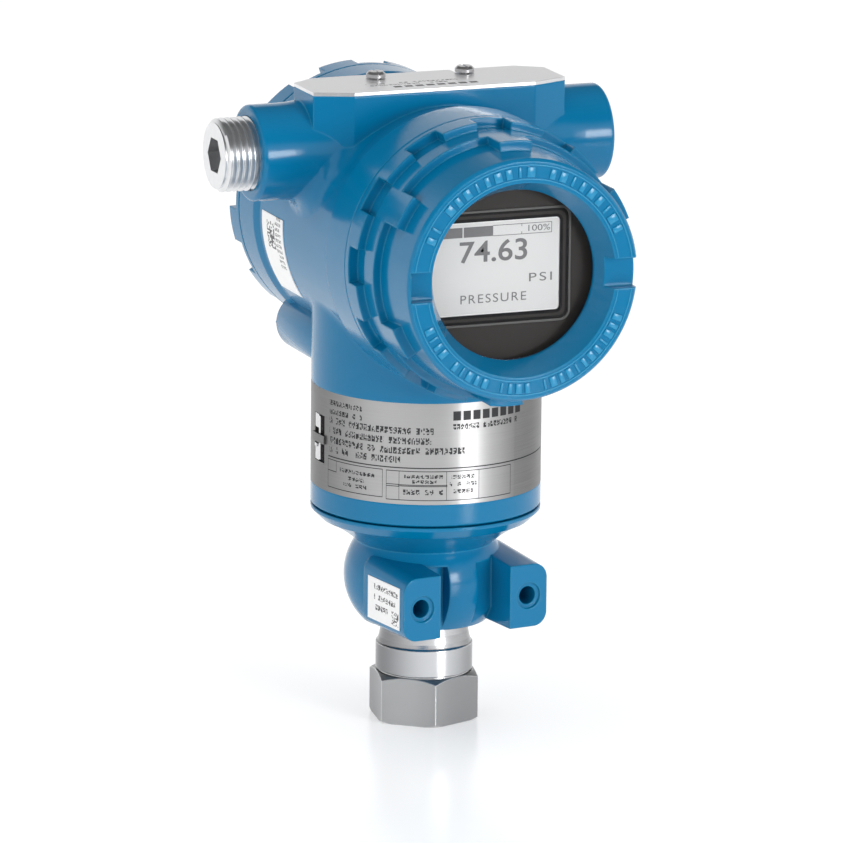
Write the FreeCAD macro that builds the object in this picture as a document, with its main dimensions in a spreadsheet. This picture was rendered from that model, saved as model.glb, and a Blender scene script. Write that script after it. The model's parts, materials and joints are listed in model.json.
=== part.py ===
import FreeCAD, Part
import math
import os
import re

import Sketcher
from FreeCAD import Placement, Rotation, Vector

# Driving sizes of an in-line pressure transmitter, in millimetres and degrees.
# The origin is the centre of the process connector's bottom face, +Z runs up the
# neck and the display faces -Y.
SIZES = [
    # process connector and sensor module
    ("hex_flats", 28.575), ("hex_height", 14.0), ("hex_turn", -38.94),
    ("hex_chamfer", 1.3), ("collar_radius", 14.05), ("collar_height", 8.7),
    ("shoulder_height", 7.0), ("shoulder_radius", 11.4), ("port_radius", 10.2),
    ("port_depth", 16.0), ("port_passage_radius", 3.2),
    ("diaphragm_radius", 9.6), ("diaphragm_thickness", 0.6),
    ("module_yaw", 7.93), ("bulb_bottom_radius", 18.2), ("bulb_radius", 23.4),
    ("bulb_height", 41.0), ("waist_radius", 20.1), ("waist_drop", 10.9),
    ("flare_radius", 30.4), ("flare_drop", 4.0), ("joint_height", 63.9),
    ("joint_gap", 0.35), ("joint_edge", 0.9), ("arm_half_spacing", 17.45), ("arm_width", 12.0),
    ("arm_reach", 29.9), ("arm_bottom", 31.0), ("arm_top", 49.4),
    ("arm_root", 6.0), ("arm_slope", 2.0), ("arm_rounding", 4.2),
    ("bracket_hole_height", 40.2), ("bracket_hole_radius", 2.65),
    ("bracket_hole_depth", 12.0), ("bracket_sink_radius", 3.85),
    ("bracket_sink_depth", 0.8), ("rib_half_width", 4.6), ("rib_recess_depth", 4.5),
    ("module_bore_radius", 16.5), ("module_floor", 8.0),
    ("spigot_radius", 28.0), ("spigot_height", 10.0), ("spigot_wall", 3.0),
    ("cell_radius", 9.0), ("cell_height", 16.0),
    ("module_board_radius", 16.0), ("board_thickness", 1.6),
    ("connector_radius", 6.0), ("connector_height", 11.0), ("connector_bore", 3.6),
    ("connector_floor", 1.2), ("label_thickness", 0.2),
    ("module_label_length", 18.6), ("module_label_height", 12.4),
    ("module_label_step", 2.9),
    # neck and band
    ("neck_radius", 33.2), ("neck_drop", 13.6), ("neck_edge", 0.6), ("neck_bore_radius", 24.0),
    ("neck_blend_radius", 5.0), ("neck_bore_drop", 43.1),
    ("band_rise", 6.6), ("band_height", 29.5),
    ("band_thickness", 0.8), ("band_slot_sweep", 12.1), ("band_slot_height", 13.9),
    ("band_slot_rise", 7.8), ("band_slot_turn", 175.5), ("band_tab_height", 2.5),
    ("band_tab_proud", 0.6), ("wire_passage_radius", 6.0), ("wire_passage_offset", 21.0),
    # barrel
    ("barrel_height", 143.6), ("barrel_radius", 38.3), ("front_seam", 39.3),
    ("rear_seam", 50.25), ("front_flange_radius", 40.3), ("front_flange_length", 15.5),
    ("rear_flange_radius", 39.3), ("rear_flange_length", 12.0), ("flange_slope", 3.0),
    ("flange_edge", 0.5),
    ("front_cavity_radius", 34.2), ("rear_cavity_radius", 33.0),
    ("partition_front", 10.0), ("partition_thickness", 4.0),
    ("front_thread_radius", 36.0), ("rear_thread_radius", 35.0), ("skirt_length", 11.0),
    ("skirt_clearance", 1.0), ("running_fit", 0.05), ("overcut", 1.0), ("cover_gap", 0.2),
    # conduit bosses and land
    ("boss_rise", 25.0), ("boss_offset", 3.7), ("boss_radius", 13.8),
    ("boss_reach", 53.7), ("crossbody_radius", 17.3), ("crossbody_half_length", 44.5),
    ("boss_edge", 1.2), ("crossbody_blend_radius", 5.0),
    ("conduit_thread_radius", 10.67), ("conduit_thread_depth", 19.0),
    ("conduit_bore_radius", 8.0), ("conduit_bore_end", 13.0),
    ("land_rise", 42.7), ("land_depth", 20.0),
    ("land_half_length", 38.4), ("land_front_half", 27.6), ("land_front", 12.6),
    ("land_side_front", 8.2), ("land_side_rear", 7.6), ("land_rear_half", 31.0),
    ("land_rear", 12.6),
    # top plate, its screws and the two buttons under it
    ("plate_thickness", 1.0), ("plate_screw_half_spacing", 13.6),
    ("plate_screw_offset", 7.2), ("plate_screw_radius", 1.5), ("plate_screw_length", 8.0),
    ("plate_head_radius", 2.8), ("plate_head_height", 1.7), ("plate_hole_play", 0.06),
    ("plate_notch_play", 0.5), ("head_gap", 0.3), ("driver_slot", 0.8),
    ("button_spacing", 9.0), ("button_offset", 2.6), ("button_radius", 2.4),
    ("button_length", 4.2), ("button_edge", 0.4), ("button_recess", 0.4),
    ("button_stem_radius", 1.2), ("button_stem_length", 2.6), ("button_well", 9.6),
    ("spring_wire_radius", 0.25), ("spring_turns", 4.0),
    # front cover and its glass
    ("front_cover_length", 34.2), ("tooth_length", 8.2), ("tooth_rim", 2.5),
    ("tooth_width", 15.0), ("front_notch_turn", 21.0), ("mid_drop", 2.4),
    ("notch_drop", 2.9), ("mid_length", 15.7), ("block_length", 24.7),
    ("barrel_root_radius", 35.6), ("barrel_end_radius", 34.5),
    ("ring_radius", 33.74), ("ring_edge", 1.0), ("ring_mouth_radius", 27.7),
    ("window_radius", 24.3), ("window_depth", 8.9), ("window_lip", 1.0),
    ("wrench_slot_width", 8.5), ("wrench_slot_depth", 4.0),
    ("cover_cavity_radius", 31.2), ("glass_radius", 27.0), ("glass_thickness", 3.0),
    ("bond_width", 0.6), ("seal_groove_depth", 1.8), ("seal_groove_width", 2.6),
    ("seal_groove_step", 1.6), ("seal_section", 0.87),
    # rear cover
    ("rear_tooth_length", 8.0), ("rear_notch_turn", -2.5), ("rear_cap_length", 11.5),
    ("rear_ring_radius", 33.2), ("rear_ring_bore", 27.5), ("rear_recess", 2.6),
    ("rear_cap_wall", 4.0), ("rear_slot_depth", 2.6),
    # display and electronics
    ("display_gap", 0.5), ("bezel_radius", 29.0), ("bezel_length", 6.0),
    ("screen_half_width", 19.5), ("screen_half_height", 13.55),
    ("screen_shift", 3.5), ("screen_rise", 1.55), ("screen_inset", 0.4),
    ("display_board_radius", 28.0), ("display_screw_radius", 1.0),
    ("display_screw_reach", 26.0), ("display_screw_head", 1.7),
    ("display_screw_sink", 1.4), ("display_screw_grip", 5.0),
    ("display_screw_turn", 60.0), ("standoff_radius", 2.6),
    ("electronics_radius", 33.6), ("electronics_length", 15.0),
    ("electronics_edge", 1.5), ("electronics_notch_width", 16.0),
    ("electronics_notch_rise", 24.0), ("feedthrough_radius", 5.0),
    ("feedthrough_flange", 6.6), ("feedthrough_flange_thickness", 1.5),
    ("feedthrough_rise", 16.2), ("ribbon_width", 5.0), ("ribbon_thickness", 1.0),
    ("ribbon_plug_radius", 3.3), ("ribbon_plug_top", 68.0), ("ribbon_first_bend", 84.0),
    ("ribbon_second_bend", 97.0),
    # terminal side
    ("terminal_block_radius", 32.4), ("terminal_block_length", 14.0),
    ("terminal_block_rise", 8.0), ("terminal_pitch", 14.0), ("terminal_drop", 4.0),
    ("terminal_screw_radius", 2.0), ("terminal_screw_length", 8.0),
    ("terminal_head_radius", 4.2), ("terminal_head_height", 3.0),
    ("terminal_clamp_side", 10.0), ("terminal_clamp_thickness", 1.2),
    ("barrier_thickness", 1.6), ("barrier_height", 5.0), ("barrier_length", 16.0),
    ("inner_ground_across", 22.0), ("inner_ground_rise", 15.0),
    ("inner_ground_length", 3.0),
    # ground boss and small screws
    ("ground_boss_offset", 22.5), ("ground_boss_drop", 33.6), ("ground_boss_radius", 8.3),
    ("ground_boss_rear", 42.0), ("ground_boss_length", 34.0),
    ("ground_screw_radius", 2.0), ("ground_screw_length", 9.0), ("ground_screw_drop", 3.6),
    ("ground_head_radius", 3.5), ("ground_head_height", 2.6), ("ground_washer_radius", 4.0),
    ("ground_washer_thickness", 1.0),
    ("jam_screw_radius", 2.0), ("jam_screw_length", 4.0), ("jam_screw_turn", -38.0),
    ("lock_screw_radius", 2.0), ("lock_screw_length", 4.6), ("lock_screw_turn", 150.0),
    ("lock_screw_rise", 3.3), ("socket_radius", 1.1), ("socket_depth", 1.5),
    # conduit plug and label
    ("plug_length", 28.0), ("plug_stand_out", 10.1), ("plug_thread_radius", 10.62),
    ("plug_chamfer", 1.0), ("plug_hex_flats", 9.52), ("plug_hex_depth", 8.0),
    ("plug_seal_start", 6.0), ("plug_seal_length", 8.0), ("plug_seal_depth", 0.5),
    ("housing_label_turn", 177.0), ("housing_label_sweep", 36.0),
    ("housing_label_front", 16.0), ("housing_label_length", 17.0),
]

doc = FreeCAD.newDocument("pressure_transmitter")
sheet = doc.addObject("Spreadsheet::Sheet", "Sizes")
for row, (alias, size) in enumerate(SIZES, start=1):
    sheet.set("A%d" % row, alias.replace("_", " "))
    sheet.set("B%d" % row, str(size))
    sheet.setAlias("B%d" % row, alias)
doc.recompute()

FACING = {
    "up": Rotation(),
    "down": Rotation(Vector(1, 0, 0), 180),
    "front": Rotation(Vector(1, 0, 0), 90),
    "rear": Rotation(Vector(1, 0, 0), -90),
    "right": Rotation(Vector(0, 1, 0), 90),
    "left": Rotation(Vector(0, 1, 0), -90),
}
nodes = {}


def number(words):
    """The value of a sum of products such as 'neck_radius - 2 * running_fit'."""
    words = words.replace(" ", "")
    while "(" in words:
        bracket = re.search(r"\(([^()]*)\)", words)
        words = words.replace(bracket.group(), "%.9f" % number(bracket.group(1)))
        words = words.replace("--", "+").replace("+-", "-")
    total = 0.0
    for sign, term in re.findall(r"([+-]?)([^+-]+)", words):
        product = 1.0
        for operator, factor in re.findall(r"([*/]?)([^*/]+)", term):
            is_number = factor[0].isdigit()
            size = float(factor) if is_number else float(sheet.get(factor))
            product = product / size if operator == "/" else product * size
        total += -product if sign == "-" else product
    return total


def formula(words):
    """The same sum as an expression that reads the sheet."""
    return re.sub(r"[a-z_]+", lambda word: "Sizes." + word.group(), words)


def bind(item, **sizes):
    """Tie properties of an object to sums of sheet sizes."""
    for name, words in sizes.items():
        item.setExpression(name, formula(words))
    return item


def put(item, facing="up", x="0", y="0", z="0"):
    """Turn an object's own Z axis to face one way and tie its place to the sheet."""
    item.Placement = Placement(Vector(0, 0, 0), FACING[facing])
    for axis, words in (("x", x), ("y", y), ("z", z)):
        if words != "0":
            item.setExpression("Placement.Base." + axis, formula(words))
    return item


def cylinder(name, radius, height, facing="up", x="0", y="0", z="0"):
    item = bind(doc.addObject("Part::Cylinder", name), Radius=radius, Height=height)
    return put(item, facing, x, y, z)


def box(name, length, width, height, x="0", y="0", z="0"):
    """A box centred in X and Y on its place, standing up from it."""
    item = bind(doc.addObject("Part::Box", name), Length=length, Width=width, Height=height)
    corner = [place + " - (" + size + ") / 2" for place, size in ((x, length), (y, width))]
    return put(item, "up", corner[0], corner[1], z)


def ball_ring(name, ring_radius, section_radius, facing="up", x="0", y="0", z="0"):
    item = doc.addObject("Part::Torus", name)
    bind(item, Radius1=ring_radius, Radius2=section_radius)
    return put(item, facing, x, y, z)


def prism(name, sides, circumradius, height, facing="up", x="0", y="0", z="0"):
    item = doc.addObject("Part::Prism", name)
    item.Polygon = sides
    bind(item, Circumradius=circumradius, Height=height)
    return put(item, facing, x, y, z)


def fuse(name, *items, refine=True):
    item = doc.addObject("Part::MultiFuse", name)
    item.Shapes = list(items)
    item.Refine = refine
    return item


def cut(name, base, *tools, refine=True):
    item = doc.addObject("Part::Cut", name)
    item.Base = base
    item.Tool = tools[0] if len(tools) == 1 else fuse(name + "_cutters", *tools)
    item.Refine = refine
    return item


def rounded(name, base, radius, wanted):
    """Round the edges of a shape that the function wanted picks out."""
    doc.recompute()
    item = doc.addObject("Part::Fillet", name)
    item.Base = base
    size = number(radius)
    edges = base.Shape.Edges
    item.Edges = [(i + 1, size, size) for i, edge in enumerate(edges) if wanted(edge)]
    return item


def piece(name, item):
    """Name a finished sub-part, which is written to its own file."""
    item.Label = name
    nodes[name] = item
    return item


def origin_plane(body, role):
    return [plane for plane in body.Origin.OriginFeatures if plane.Role == role][0]


def new_sketch(body, name, role):
    sketch = body.newObject("Sketcher::SketchObject", name)
    sketch.AttachmentSupport = [(origin_plane(body, role), "")]
    sketch.MapMode = "FlatFace"
    return sketch


def tie(sketch, constraint, words):
    """Add a constraint whose size follows the sheet."""
    index = sketch.addConstraint(constraint)
    sketch.setExpression("Constraints[%d]" % index, formula(words))


def outline(body, name, role, points):
    """A closed outline of straight lines whose corners are tied to the sheet."""
    sketch = new_sketch(body, name, role)
    corners = [Vector(number(across), number(along), 0) for across, along in points]
    count = len(corners)
    for i in range(count):
        sketch.addGeometry(Part.LineSegment(corners[i], corners[(i + 1) % count]))
    for i in range(count):
        sketch.addConstraint(Sketcher.Constraint("Coincident", i, 2, (i + 1) % count, 1))
    for i, (across, along) in enumerate(points):
        if across == "0":
            sketch.addConstraint(Sketcher.Constraint("PointOnObject", i, 1, -2))
        else:
            tie(sketch, Sketcher.Constraint("DistanceX", -1, 1, i, 1, corners[i].x), across)
        if along == "0":
            sketch.addConstraint(Sketcher.Constraint("PointOnObject", i, 1, -1))
        else:
            tie(sketch, Sketcher.Constraint("DistanceY", -1, 1, i, 1, corners[i].y), along)
    return sketch


def turned(name, points, facing="up", x="0", y="0", z="0"):
    """A body turned about its own Z axis from corners given as (radius, height)."""
    body = doc.addObject("PartDesign::Body", name)
    profile = outline(body, name + "_profile", "XZ_Plane", points)
    turn = body.newObject("PartDesign::Revolution", name + "_turn")
    turn.Profile = profile
    turn.ReferenceAxis = (profile, ["V_Axis"])
    turn.Angle = 360
    body.Tip = turn
    return put(body, facing, x, y, z)


def padded(name, role, points, length, facing="up", x="0", y="0", z="0"):
    """A body padded from an outline of straight lines."""
    body = doc.addObject("PartDesign::Body", name)
    profile = outline(body, name + "_outline", role, points)
    pad = body.newObject("PartDesign::Pad", name + "_pad")
    pad.Profile = profile
    bind(pad, Length=length)
    body.Tip = pad
    return put(body, facing, x, y, z)


def sector_sketch(body, name, inner, outer, start, sweep):
    """A slice of a ring about the body's Z axis, from the angle start over sweep."""
    sketch = new_sketch(body, name, "XY_Plane")
    first = math.radians(number(start))
    last = math.radians(number(start + " + " + sweep))
    near, far = number(inner), number(outer)
    centre, up = Vector(0, 0, 0), Vector(0, 0, 1)

    def spot(radius, angle):
        return Vector(radius * math.cos(angle), radius * math.sin(angle), 0)

    sketch.addGeometry(Part.ArcOfCircle(Part.Circle(centre, up, near), first, last))
    sketch.addGeometry(Part.ArcOfCircle(Part.Circle(centre, up, far), first, last))
    sketch.addGeometry(Part.LineSegment(spot(near, first), spot(far, first)))
    sketch.addGeometry(Part.LineSegment(spot(near, last), spot(far, last)))
    for line, end in ((2, 1), (3, 2)):
        sketch.addConstraint(Sketcher.Constraint("Coincident", line, 1, 0, end))
        sketch.addConstraint(Sketcher.Constraint("Coincident", line, 2, 1, end))
    sketch.addConstraint(Sketcher.Constraint("Coincident", 0, 3, -1, 1))
    sketch.addConstraint(Sketcher.Constraint("Coincident", 1, 3, -1, 1))
    tie(sketch, Sketcher.Constraint("Radius", 0, near), inner)
    tie(sketch, Sketcher.Constraint("Radius", 1, far), outer)
    tie(sketch, Sketcher.Constraint("Angle", 2, first), start)
    tie(sketch, Sketcher.Constraint("Angle", 3, last), start + " + " + sweep)
    return sketch


def ring_of(body, feature, count, profile):
    """Repeat a feature evenly round the body's Z axis."""
    pattern = body.newObject("PartDesign::PolarPattern", feature.Name + "_ring")
    pattern.Originals = [feature]
    pattern.Axis = (profile, ["N_Axis"])
    pattern.Angle = 360
    pattern.Occurrences = count
    body.Tip = pattern
    return pattern


def shaped(name, shape, facing="up", x="0", y="0", z="0"):
    """A sub-part whose shape is worked out from the sheet by Part's own functions."""
    item = doc.addObject("Part::Feature", name)
    item.Shape = shape
    return put(item, facing, x, y, z)


def arc(start, middle, end):
    return Part.Arc(Vector(*start), Vector(*middle), Vector(*end)).toShape()


def line(start, end):
    return Part.LineSegment(Vector(*start), Vector(*end)).toShape()


# Heights up the neck axis that several sub-parts share.
CONNECTOR_TOP = "hex_height + collar_height + shoulder_height"
CELL_SEAT = CONNECTOR_TOP + " + module_floor"
MODULE_TOP = "joint_height - joint_gap"

# Heights of the housing, each at a set distance from the barrel's axis or the joint face.
WAIST_LEVEL = "(joint_height - waist_drop)"
FLARE_LEVEL = "(joint_height - flare_drop)"
BAND_BOTTOM = "(joint_height + band_rise)"
LOCK_SCREW_LEVEL = "(joint_height + lock_screw_rise)"
NECK_TOP = "(barrel_height - neck_drop)"
NECK_BORE_TOP = "(barrel_height - neck_bore_drop)"
BOSS_AXIS = "(barrel_height + boss_rise)"
LAND_TOP = "(barrel_height + land_rise)"
GROUND_BOSS_AXIS = "(barrel_height - ground_boss_drop)"

# Where the swell between the bosses begins, as shares of its half length and of its rise,
# and how far the curve that leads into it has risen halfway.
SWELL_START = 0.85
SWELL_RISE = 0.17
SWELL_DIP = 0.27

# How far an edge may lie from where it is looked for.
NEAR = 0.1


def hexagon(name, flats, height, turn, z="0"):
    """An upright hexagonal bar with one corner at a chosen plan angle."""
    item = prism(name, 6, flats + " / 1.7320508", height, z=z)
    item.setExpression("Placement.Rotation.Angle", formula(turn))
    return item


def make_process_connector():
    """Stainless hexagon, collar and shoulder with a female port, and a stem into the module."""
    blank = turned("hex_blank", [
        ("0", "0"), ("hex_flats / 1.7320508 - hex_chamfer", "0"),
        ("hex_flats / 1.7320508", "hex_chamfer / 2"),
        ("hex_flats / 1.7320508", "hex_height - hex_chamfer"),
        ("hex_flats / 2", "hex_height"), ("0", "hex_height")])
    bar = hexagon("hex_bar", "hex_flats", "hex_height", "hex_turn")
    nut = doc.addObject("Part::Common", "hex_nut")
    nut.Base = bar
    nut.Tool = blank
    collar_top = "hex_height + collar_height"
    body = turned("connector_collar", [
        ("0", "0"), ("collar_radius - 1", "0"), ("collar_radius - 1", "hex_height"),
        ("collar_radius", "hex_height + 0.6"), ("collar_radius", collar_top + " - 0.5"),
        ("collar_radius - 0.5", collar_top), ("collar_radius - 0.9", collar_top + " + 1.2"),
        ("shoulder_radius + 1.3", collar_top + " + 3.4"),
        ("shoulder_radius + 1", CONNECTOR_TOP), ("shoulder_radius", CONNECTOR_TOP),
        ("shoulder_radius", CELL_SEAT), ("0", CELL_SEAT)])
    port = cylinder("port_bore", "port_radius", "port_depth")
    seat = cylinder("diaphragm_seat", "diaphragm_radius + running_fit",
                    "diaphragm_thickness", z="port_depth")
    passage = cylinder("port_passage", "port_passage_radius", CELL_SEAT)
    return piece("process_connector",
                 cut("connector", fuse("connector_blank", nut, body), port, seat, passage))


def make_diaphragm():
    """Thin isolating disc at the top of the port, with a convolution pressed into it."""
    return piece("isolating_diaphragm", turned("diaphragm", [
        ("0", "diaphragm_thickness / 2"), ("diaphragm_radius * 0.3", "diaphragm_thickness / 2"),
        ("diaphragm_radius * 0.45", "0"), ("diaphragm_radius", "0"),
        ("diaphragm_radius", "diaphragm_thickness"), ("0", "diaphragm_thickness")],
        z="port_depth"))


def bulb_shape():
    """The rounded lower casting: a bulb under a waist, a flare and the joint face."""
    bottom = number(CONNECTOR_TOP)
    foot, belly = number("bulb_bottom_radius"), number("bulb_radius")
    waist, flare = number("waist_radius"), number("flare_radius")
    middle, narrow, wide = number("bulb_height"), number(WAIST_LEVEL), number(FLARE_LEVEL)
    rim, top = number("neck_radius"), number(MODULE_TOP)
    ledge = top - number("joint_edge")
    start, end = (waist, 0, narrow), (flare, 0, wide)
    dip = (waist + 0.36 * (flare - waist), 0, narrow + 0.45 * (wide - narrow))
    edges = [
        line((0, 0, bottom), (foot, 0, bottom)),
        arc((foot, 0, bottom), (belly, 0, middle), start),
        arc(start, dip, end),
        line(end, (rim, 0, ledge)), line((rim, 0, ledge), (rim, 0, top)),
        line((rim, 0, top), (0, 0, top)), line((0, 0, top), (0, 0, bottom))]
    face = Part.Face(Part.Wire(edges))
    return face.revolve(Vector(0, 0, 0), Vector(0, 0, 1), 360)


def bracket_arm(name):
    """One forward arm of the lower casting, with its outer corners rounded."""
    body = padded(name, "YZ_Plane", [
        ("0 - arm_reach", "arm_bottom"), ("0 - arm_reach", "arm_top"),
        ("0 - arm_root", "arm_top + arm_slope"), ("0 - arm_root", "arm_bottom")],
        "arm_width", x="arm_half_spacing - arm_width / 2")
    outside = number("arm_half_spacing + arm_width / 2")

    def outer_long_edge(edge):
        ends = [vertex.Point for vertex in edge.Vertexes]
        outer = all(abs(end.x - outside) < 0.01 for end in ends)
        return outer and abs(ends[0].y - ends[1].y) > 1

    return rounded(name + "_rounded", body, "arm_rounding", outer_long_edge)


def make_sensor_module():
    """Lower blue casting: bulb, two bracket arms, a central rib and a threaded spigot."""
    bulb = shaped("bulb", bulb_shape())
    right_arm = bracket_arm("right_arm")
    left_arm = doc.addObject("Part::Mirroring", "left_arm")
    left_arm.Source = right_arm
    left_arm.Normal = Vector(1, 0, 0)
    spigot = cylinder("spigot", "spigot_radius", "spigot_height", z=MODULE_TOP)
    holes = []
    recess_width = "arm_half_spacing - arm_width / 2 - rib_half_width"
    recess_middle = "arm_half_spacing / 2 - arm_width / 4 + rib_half_width / 2"
    for side, sign in (("left", "0 - "), ("right", "")):
        across = sign + "arm_half_spacing"
        holes.append(cylinder(side + "_bracket_hole", "bracket_hole_radius",
                              "bracket_hole_depth", "rear", x=across,
                              y="0 - arm_reach", z="bracket_hole_height"))
        holes.append(cylinder(side + "_bracket_sink", "bracket_sink_radius",
                              "bracket_sink_depth", "rear", x=across,
                              y="0 - arm_reach", z="bracket_hole_height"))
        holes.append(box(side + "_recess", recess_width, "rib_recess_depth * 2",
                         "arm_top - arm_bottom + 4", x=sign + "(" + recess_middle + ")",
                         y="0 - bulb_radius", z="arm_bottom - 4"))
    bore = cylinder("module_bore", "module_bore_radius", MODULE_TOP + " + spigot_height",
                    z=CELL_SEAT)
    mouth = cylinder("spigot_bore", "spigot_radius - spigot_wall", "spigot_height + 3",
                     z=MODULE_TOP + " - 3")
    stem = cylinder("stem_hole", "shoulder_radius", "module_floor", z=CONNECTOR_TOP)
    groove = cut("neck_seal_groove",
                 cylinder("groove_outside", "spigot_radius + 1", "seal_groove_width",
                          z=MODULE_TOP + " + seal_groove_step"),
                 cylinder("groove_inside", "spigot_radius - seal_groove_depth",
                          "seal_groove_width", z=MODULE_TOP + " + seal_groove_step"))
    casting = cut("module_casting", fuse("module_blank", bulb, right_arm, left_arm, spigot),
                  bore, mouth, stem, groove, *holes)
    casting.setExpression("Placement.Rotation.Angle", formula("module_yaw"))
    return piece("sensor_module", casting)


def make_module_internals():
    """The measuring cell on the stem, its round board and the connector on the axis."""
    piece("sensor_cell", turned("cell", [
        ("0", "0"), ("cell_radius", "0"), ("cell_radius", "cell_height - 3"),
        ("cell_radius - 2", "cell_height"), ("0", "cell_height")], z=CELL_SEAT))
    board = cylinder("module_board_disc", "module_board_radius", "board_thickness",
                     z=CELL_SEAT + " + cell_height")
    piece("module_board", board)
    socket = turned("connector_body", [
        ("0", "0"), ("connector_radius", "0"), ("connector_radius", "connector_height"),
        ("connector_bore", "connector_height"), ("connector_bore", "connector_floor"),
        ("0", "connector_floor")], z=CELL_SEAT + " + cell_height + board_thickness")
    piece("module_connector", socket)
    piece("neck_seal", ball_ring("neck_ring", "spigot_radius - seal_groove_depth / 2",
                                 "seal_section",
                                 z=MODULE_TOP + " + seal_groove_step + seal_groove_width / 2"))


def make_module_label():
    """The printed label on the outer face of the left bracket arm."""
    sheet_body = padded("module_label_sheet", "YZ_Plane", [
        ("0 - module_label_length", "0"), ("0", "0"), ("0", "module_label_height"),
        ("0 - module_label_length", "module_label_height")], "label_thickness",
        x="0 - arm_half_spacing - arm_width / 2 - label_thickness",
        y="0 - arm_root - module_label_step",
        z="bracket_hole_height - module_label_height / 2")
    label = doc.addObject("Part::Compound", "module_label_yawed")
    label.Links = [sheet_body]
    label.setExpression("Placement.Rotation.Angle", formula("module_yaw"))
    return piece("module_label", label)


def is_curve(edge):
    return type(edge.Curve).__name__ == "BSplineCurve"


def is_ring(edge, along, radius):
    """Whether an edge is a circle about the crossbody's axis at a distance from the middle."""
    bounds = edge.BoundBox
    return (type(edge.Curve).__name__ == "Circle" and bounds.XLength < NEAR
            and abs(abs(bounds.XMin) - along) < NEAR and abs(edge.Curve.Radius - radius) < NEAR)


def crossbody_shape():
    """The two conduit bosses and the swollen middle between them, turned about the X axis."""
    boss, middle = number("boss_radius"), number("crossbody_radius")
    end, foot = number("boss_reach"), number("crossbody_half_length")
    swell, near = foot * SWELL_START, boss + (middle - boss) * SWELL_RISE
    half = (foot + swell) / 2
    dip = boss + (near - boss) * SWELL_DIP
    edges = [
        line((-end, 0, 0), (-end, 0, boss)), line((-end, 0, boss), (-foot, 0, boss)),
        arc((-foot, 0, boss), (-half, 0, dip), (-swell, 0, near)),
        arc((-swell, 0, near), (0, 0, middle), (swell, 0, near)),
        arc((swell, 0, near), (half, 0, dip), (foot, 0, boss)),
        line((foot, 0, boss), (end, 0, boss)), line((end, 0, boss), (end, 0, 0)),
        line((end, 0, 0), (-end, 0, 0))]
    face = Part.Face(Part.Wire(edges))
    return face.revolve(Vector(0, 0, 0), Vector(1, 0, 0), 360)


def housing_core():
    """Barrel, neck, crossbody and bosses, blended into each other as in a casting."""
    barrel = cylinder("barrel", "barrel_radius", "front_seam + rear_seam", "rear",
                      y="0 - front_seam", z="barrel_height")
    neck = cylinder("neck", "neck_radius", NECK_TOP + " - joint_height", z="joint_height")
    crossbody = shaped("crossbody", crossbody_shape(), y="boss_offset", z=BOSS_AXIS)
    axis = number("barrel_height")
    stem = rounded("neck_blend", fuse("barrel_and_neck", barrel, neck), "neck_blend_radius",
                   lambda edge: is_curve(edge) and edge.BoundBox.ZMax < axis)
    cross = rounded("crossbody_blend", fuse("barrel_and_crossbody", stem, crossbody),
                    "crossbody_blend_radius",
                    lambda edge: is_curve(edge) and edge.BoundBox.ZMin > axis)
    mouth, boss_radius = number("boss_reach"), number("boss_radius")
    return rounded("boss_mouths", cross, "boss_edge",
                   lambda edge: is_ring(edge, mouth, boss_radius))


def flange(name, radius, length, facing, seam):
    """The thick ring at one end of the barrel, whose slope runs down into the barrel."""
    inside = "(barrel_radius - flange_slope)"
    run = "flange_slope / (" + radius + " - barrel_radius) * (" + radius + " - " + inside + ")"
    return turned(name, [
        (inside, "0"), (radius + " - flange_edge", "0"), (radius, "flange_edge"),
        (radius, length), (inside, length + " + " + run)], facing, y=seam, z="barrel_height")


def band_channel():
    """What is cut away for the name band and at the neck's lower edge."""
    inside = "neck_radius - band_thickness"
    channel = turned("band_channel", [
        (inside, "0"), ("neck_radius + 1", "0"), ("neck_radius + 1", "band_height"),
        (inside, "band_height")], z=BAND_BOTTOM)
    edge = turned("neck_lower_edge", [
        ("neck_radius - 2 * neck_edge", "0 - neck_edge"),
        ("neck_radius + neck_edge", "2 * neck_edge"),
        ("neck_radius + neck_edge", "0 - neck_edge")], z="joint_height")
    return channel, edge


def land_outline():
    """Corners of the eight-sided land that the top plate lies on."""
    right = [("land_front_half", "0 - land_front"), ("land_half_length", "0 - land_side_front"),
             ("land_half_length", "land_side_rear"), ("land_rear_half", "land_rear")]
    left = [("0 - " + across, along) for across, along in reversed(right)]
    return right + left


def housing_masses():
    """The casting before it is bored, as three solids: main form, land and ground boss."""
    front = flange("front_flange", "front_flange_radius", "front_flange_length", "rear",
                   "0 - front_seam")
    rear = flange("rear_flange", "rear_flange_radius", "rear_flange_length", "front",
                  "rear_seam")
    main = fuse("housing_main", housing_core(), front, rear)
    land = padded("land", "XY_Plane", land_outline(), "land_depth",
                  z=LAND_TOP + " - land_depth")
    ground = prism("ground_boss", 8, "ground_boss_radius", "ground_boss_length", "front",
                   x="0 - ground_boss_offset", y="ground_boss_rear", z=GROUND_BOSS_AXIS)
    return main, land, ground


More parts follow.
